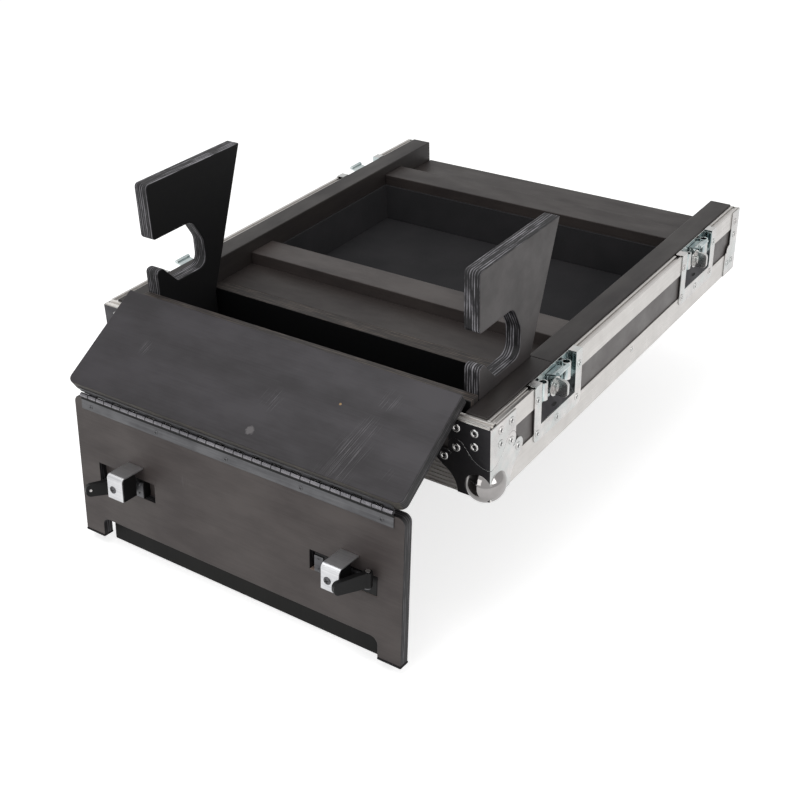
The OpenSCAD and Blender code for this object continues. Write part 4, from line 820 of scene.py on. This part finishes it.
tree, ids = leaf_tree()
LEAVES = [
    # node, knuckles in all, own first one, width, reach, depth of the slots, frame
    ("board_hinge_leaf", 18, 0, 14, 2.5, 2.9, frame_matrix(AXIS, 0, (0, 0, -1), (0, 1, 0))),
    ("flap_hinge_leaf", 18, 1, 14, 2.5, 2.9, frame_matrix(AXIS, SLOPE, (0, -1, 0), (0, 0, 1))),
    ("piano_upper_leaf", 34, 1, 10, 3.4, 5.2, frame_matrix(PIN, SLOPE, (0, 0, 1), (0, 1, 0))),
    ("piano_lower_leaf", 34, 0, 17, 0.7, 5.6, frame_matrix(PIN, -TILT, (0, 0, -1), (0, 1, 0))),
]
HINGE_L, KNUCKLE_GAP, BARREL_R, SHEET = 414.0, 1.0, 2.5, 1.0
for node, count, own, width, reach, clear, place in LEAVES:
    pitch = HINGE_L / count
    first = -HINGE_L / 2 + (own + 0.5) * pitch
    values = {"Knuckles": count // 2, "First": first * MM, "Step": 2 * pitch * MM,
              "Knuckle length": (pitch - KNUCKLE_GAP) * MM, "Radius": BARREL_R * MM, "Width": width * MM,
              "Length": HINGE_L * MM, "Reach": reach * MM, "Clear": clear * MM, "Sheet": SHEET * MM}
    leaf = grown(node + "_piece", bpy.data.meshes.new(node + "_seed"), tree, ids, values, place)
    for face in leaf.data.polygons:
        face.use_smooth = True
    leaf.data.set_sharp_from_angle(angle=math.radians(32))
    rim = leaf.modifiers.new("rolled rims", "BEVEL")
    rim.width = 0.25 * MM
    rim.segments = 2
    rim.limit_method = "ANGLE"
    rim.angle_limit = math.radians(40)
    rim.harden_normals = True
    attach(leaf, BODY_OF[node])
    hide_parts(node)
    print(node, count // 2, "knuckles,", len(leaf.data.polygons), "faces")

# %% [markdown]
# What stays hidden, such as the pins and the cleats, keeps its CAD mesh and only
# gets a finish. Rounding it would cost faces that nobody sees.

# %% Finish the nodes that stay
KEPT = {"board_hinge_pin": rubbed_zinc, "piano_hinge_pin": rubbed_zinc, "lever_pins": bright_zinc,
        "board_cleats": bare_birch}
for name, mat in KEPT.items():
    mesh = frame["nodes"][name].data
    mesh.materials.clear()
    mesh.materials.append(mat)
made = {row[0] for row in LEAVES} | {"rivets", "flap_screws"}
missed = set(frame["nodes"]) - set(KEPT) - set(PIECES) - made
print("nodes with no finish:", sorted(missed))

# %% [markdown]
# The photograph is a cut-out on white, taken from above and to the right of the
# compartment's end. The camera's place, turn and lens come from fitting the
# tray's own edges, which is surer than moving it by hand.

# %% Camera
AZIMUTH, ELEVATION, ROLL = math.radians(34.92), math.radians(31.11), math.radians(-1.70)
forward = Vector((-math.sin(AZIMUTH) * math.cos(ELEVATION), math.cos(AZIMUTH) * math.cos(ELEVATION),
                  -math.sin(ELEVATION)))
level = Vector((math.cos(AZIMUTH), math.sin(AZIMUTH), 0))
upright = level.cross(forward)
across = math.cos(ROLL) * level + math.sin(ROLL) * upright
above = math.cos(ROLL) * upright - math.sin(ROLL) * level
FOCAL_PX, PHOTO_PX, SENSOR = 1292.6, 800, 36.0
lens = bpy.data.cameras.new("photo_camera")
lens.sensor_width = SENSOR
lens.lens = FOCAL_PX / PHOTO_PX * SENSOR
camera = bpy.data.objects.new("photo_camera", lens)
bpy.context.collection.objects.link(camera)
camera.matrix_world = Matrix.Translation(Vector((775.91, -1207.47, 742.78)) * MM) @ Matrix(
    (across, above, -forward)).transposed().to_4x4()
bpy.context.scene.camera = camera
print("camera at", [round(v, 3) for v in camera.location], "lens", round(lens.lens, 1), "mm")

# %% [markdown]
# A pale floor, one large overhead lamp and two weaker ones from the right and
# from the front give a soft studio light. Brighter lamps would also whiten the
# background, but they would wash out the finishes. So the world and the floor
# glow only for the camera, for reflections and through glass, and the object
# itself is lit at a plain level. The floor lies just below the flap's feet.

# %% Floor
def seen_rays(tree):
    """1 for the rays that should meet a white background, 0 for the light on the object."""
    rays = add(tree, "ShaderNodeLightPath").node.outputs
    seen = rays["Is Camera Ray"]
    for kind in ("Is Glossy Ray", "Is Transmission Ray"):
        seen = add(tree, "ShaderNodeMath", {0: seen, 1: rays[kind]}, operation="MAXIMUM")
    return seen


FLOOR_Z, FLOOR_HALF = -0.162, 6
floor_mesh = bpy.data.meshes.new("floor")
floor_mesh.from_pydata([(x * FLOOR_HALF, y * FLOOR_HALF, FLOOR_Z) for x, y in
                        ((-1, -1), (1, -1), (1, 1), (-1, 1))], [], [(0, 1, 2, 3)])
floor = bpy.data.objects.new("floor", floor_mesh)
bpy.context.collection.objects.link(floor)
floor_mat = bpy.data.materials.new("pale_floor")
floor_mat.use_nodes = True
tree = floor_mat.node_tree
paint = tree.nodes["Principled BSDF"]
paint.inputs["Base Color"].default_value = linear("#e9e9e9")
paint.inputs["Roughness"].default_value = 0.9
glow = add(tree, "ShaderNodeMath", {0: seen_rays(tree), 1: 0.6}, operation="MULTIPLY")
tree.links.new(glow, paint.inputs["Emission Strength"])
paint.inputs["Emission Color"].default_value = (1, 1, 1, 1)
floor_mesh.materials.append(floor_mat)
print("floor at", FLOOR_Z, "m")

# %% World and lamps
world = bpy.data.worlds.new("white_studio")
bpy.context.scene.world = world
world.use_nodes = True
sky = world.node_tree
plain = sky.nodes["Background"]
plain.inputs["Color"].default_value = (1, 1, 1, 1)
plain.inputs["Strength"].default_value = 0.42
white = add(sky, "ShaderNodeBackground", {"Color": (1, 1, 1, 1), "Strength": 1.0})
both = add(sky, "ShaderNodeMixShader", {0: seen_rays(sky), 1: plain.outputs[0], 2: white})
sky.links.new(both, sky.nodes["World Output"].inputs["Surface"])


def lamp(name, place, aim, size, power):
    """A square area lamp at a place, in metres and watts, turned to its aim."""
    light = bpy.data.lights.new(name, "AREA")
    light.energy = power
    light.size = size
    obj = bpy.data.objects.new(name, light)
    bpy.context.collection.objects.link(obj)
    obj.location = place
    obj.rotation_euler = (Vector(aim) - Vector(place)).to_track_quat("-Z", "Y").to_euler()


lamp("overhead", (-0.3, -0.6, 1.9), (0, -0.1, 0), 1.6, 17)
lamp("right_side", (2.0, -0.6, 0.9), (0, 0, 0), 1.0, 13)
lamp("near_front", (-0.2, -2.4, 0.9), (0, -0.4, -0.05), 1.2, 9)
bpy.context.scene.view_settings.view_transform = "Standard"
print("stage is ready")
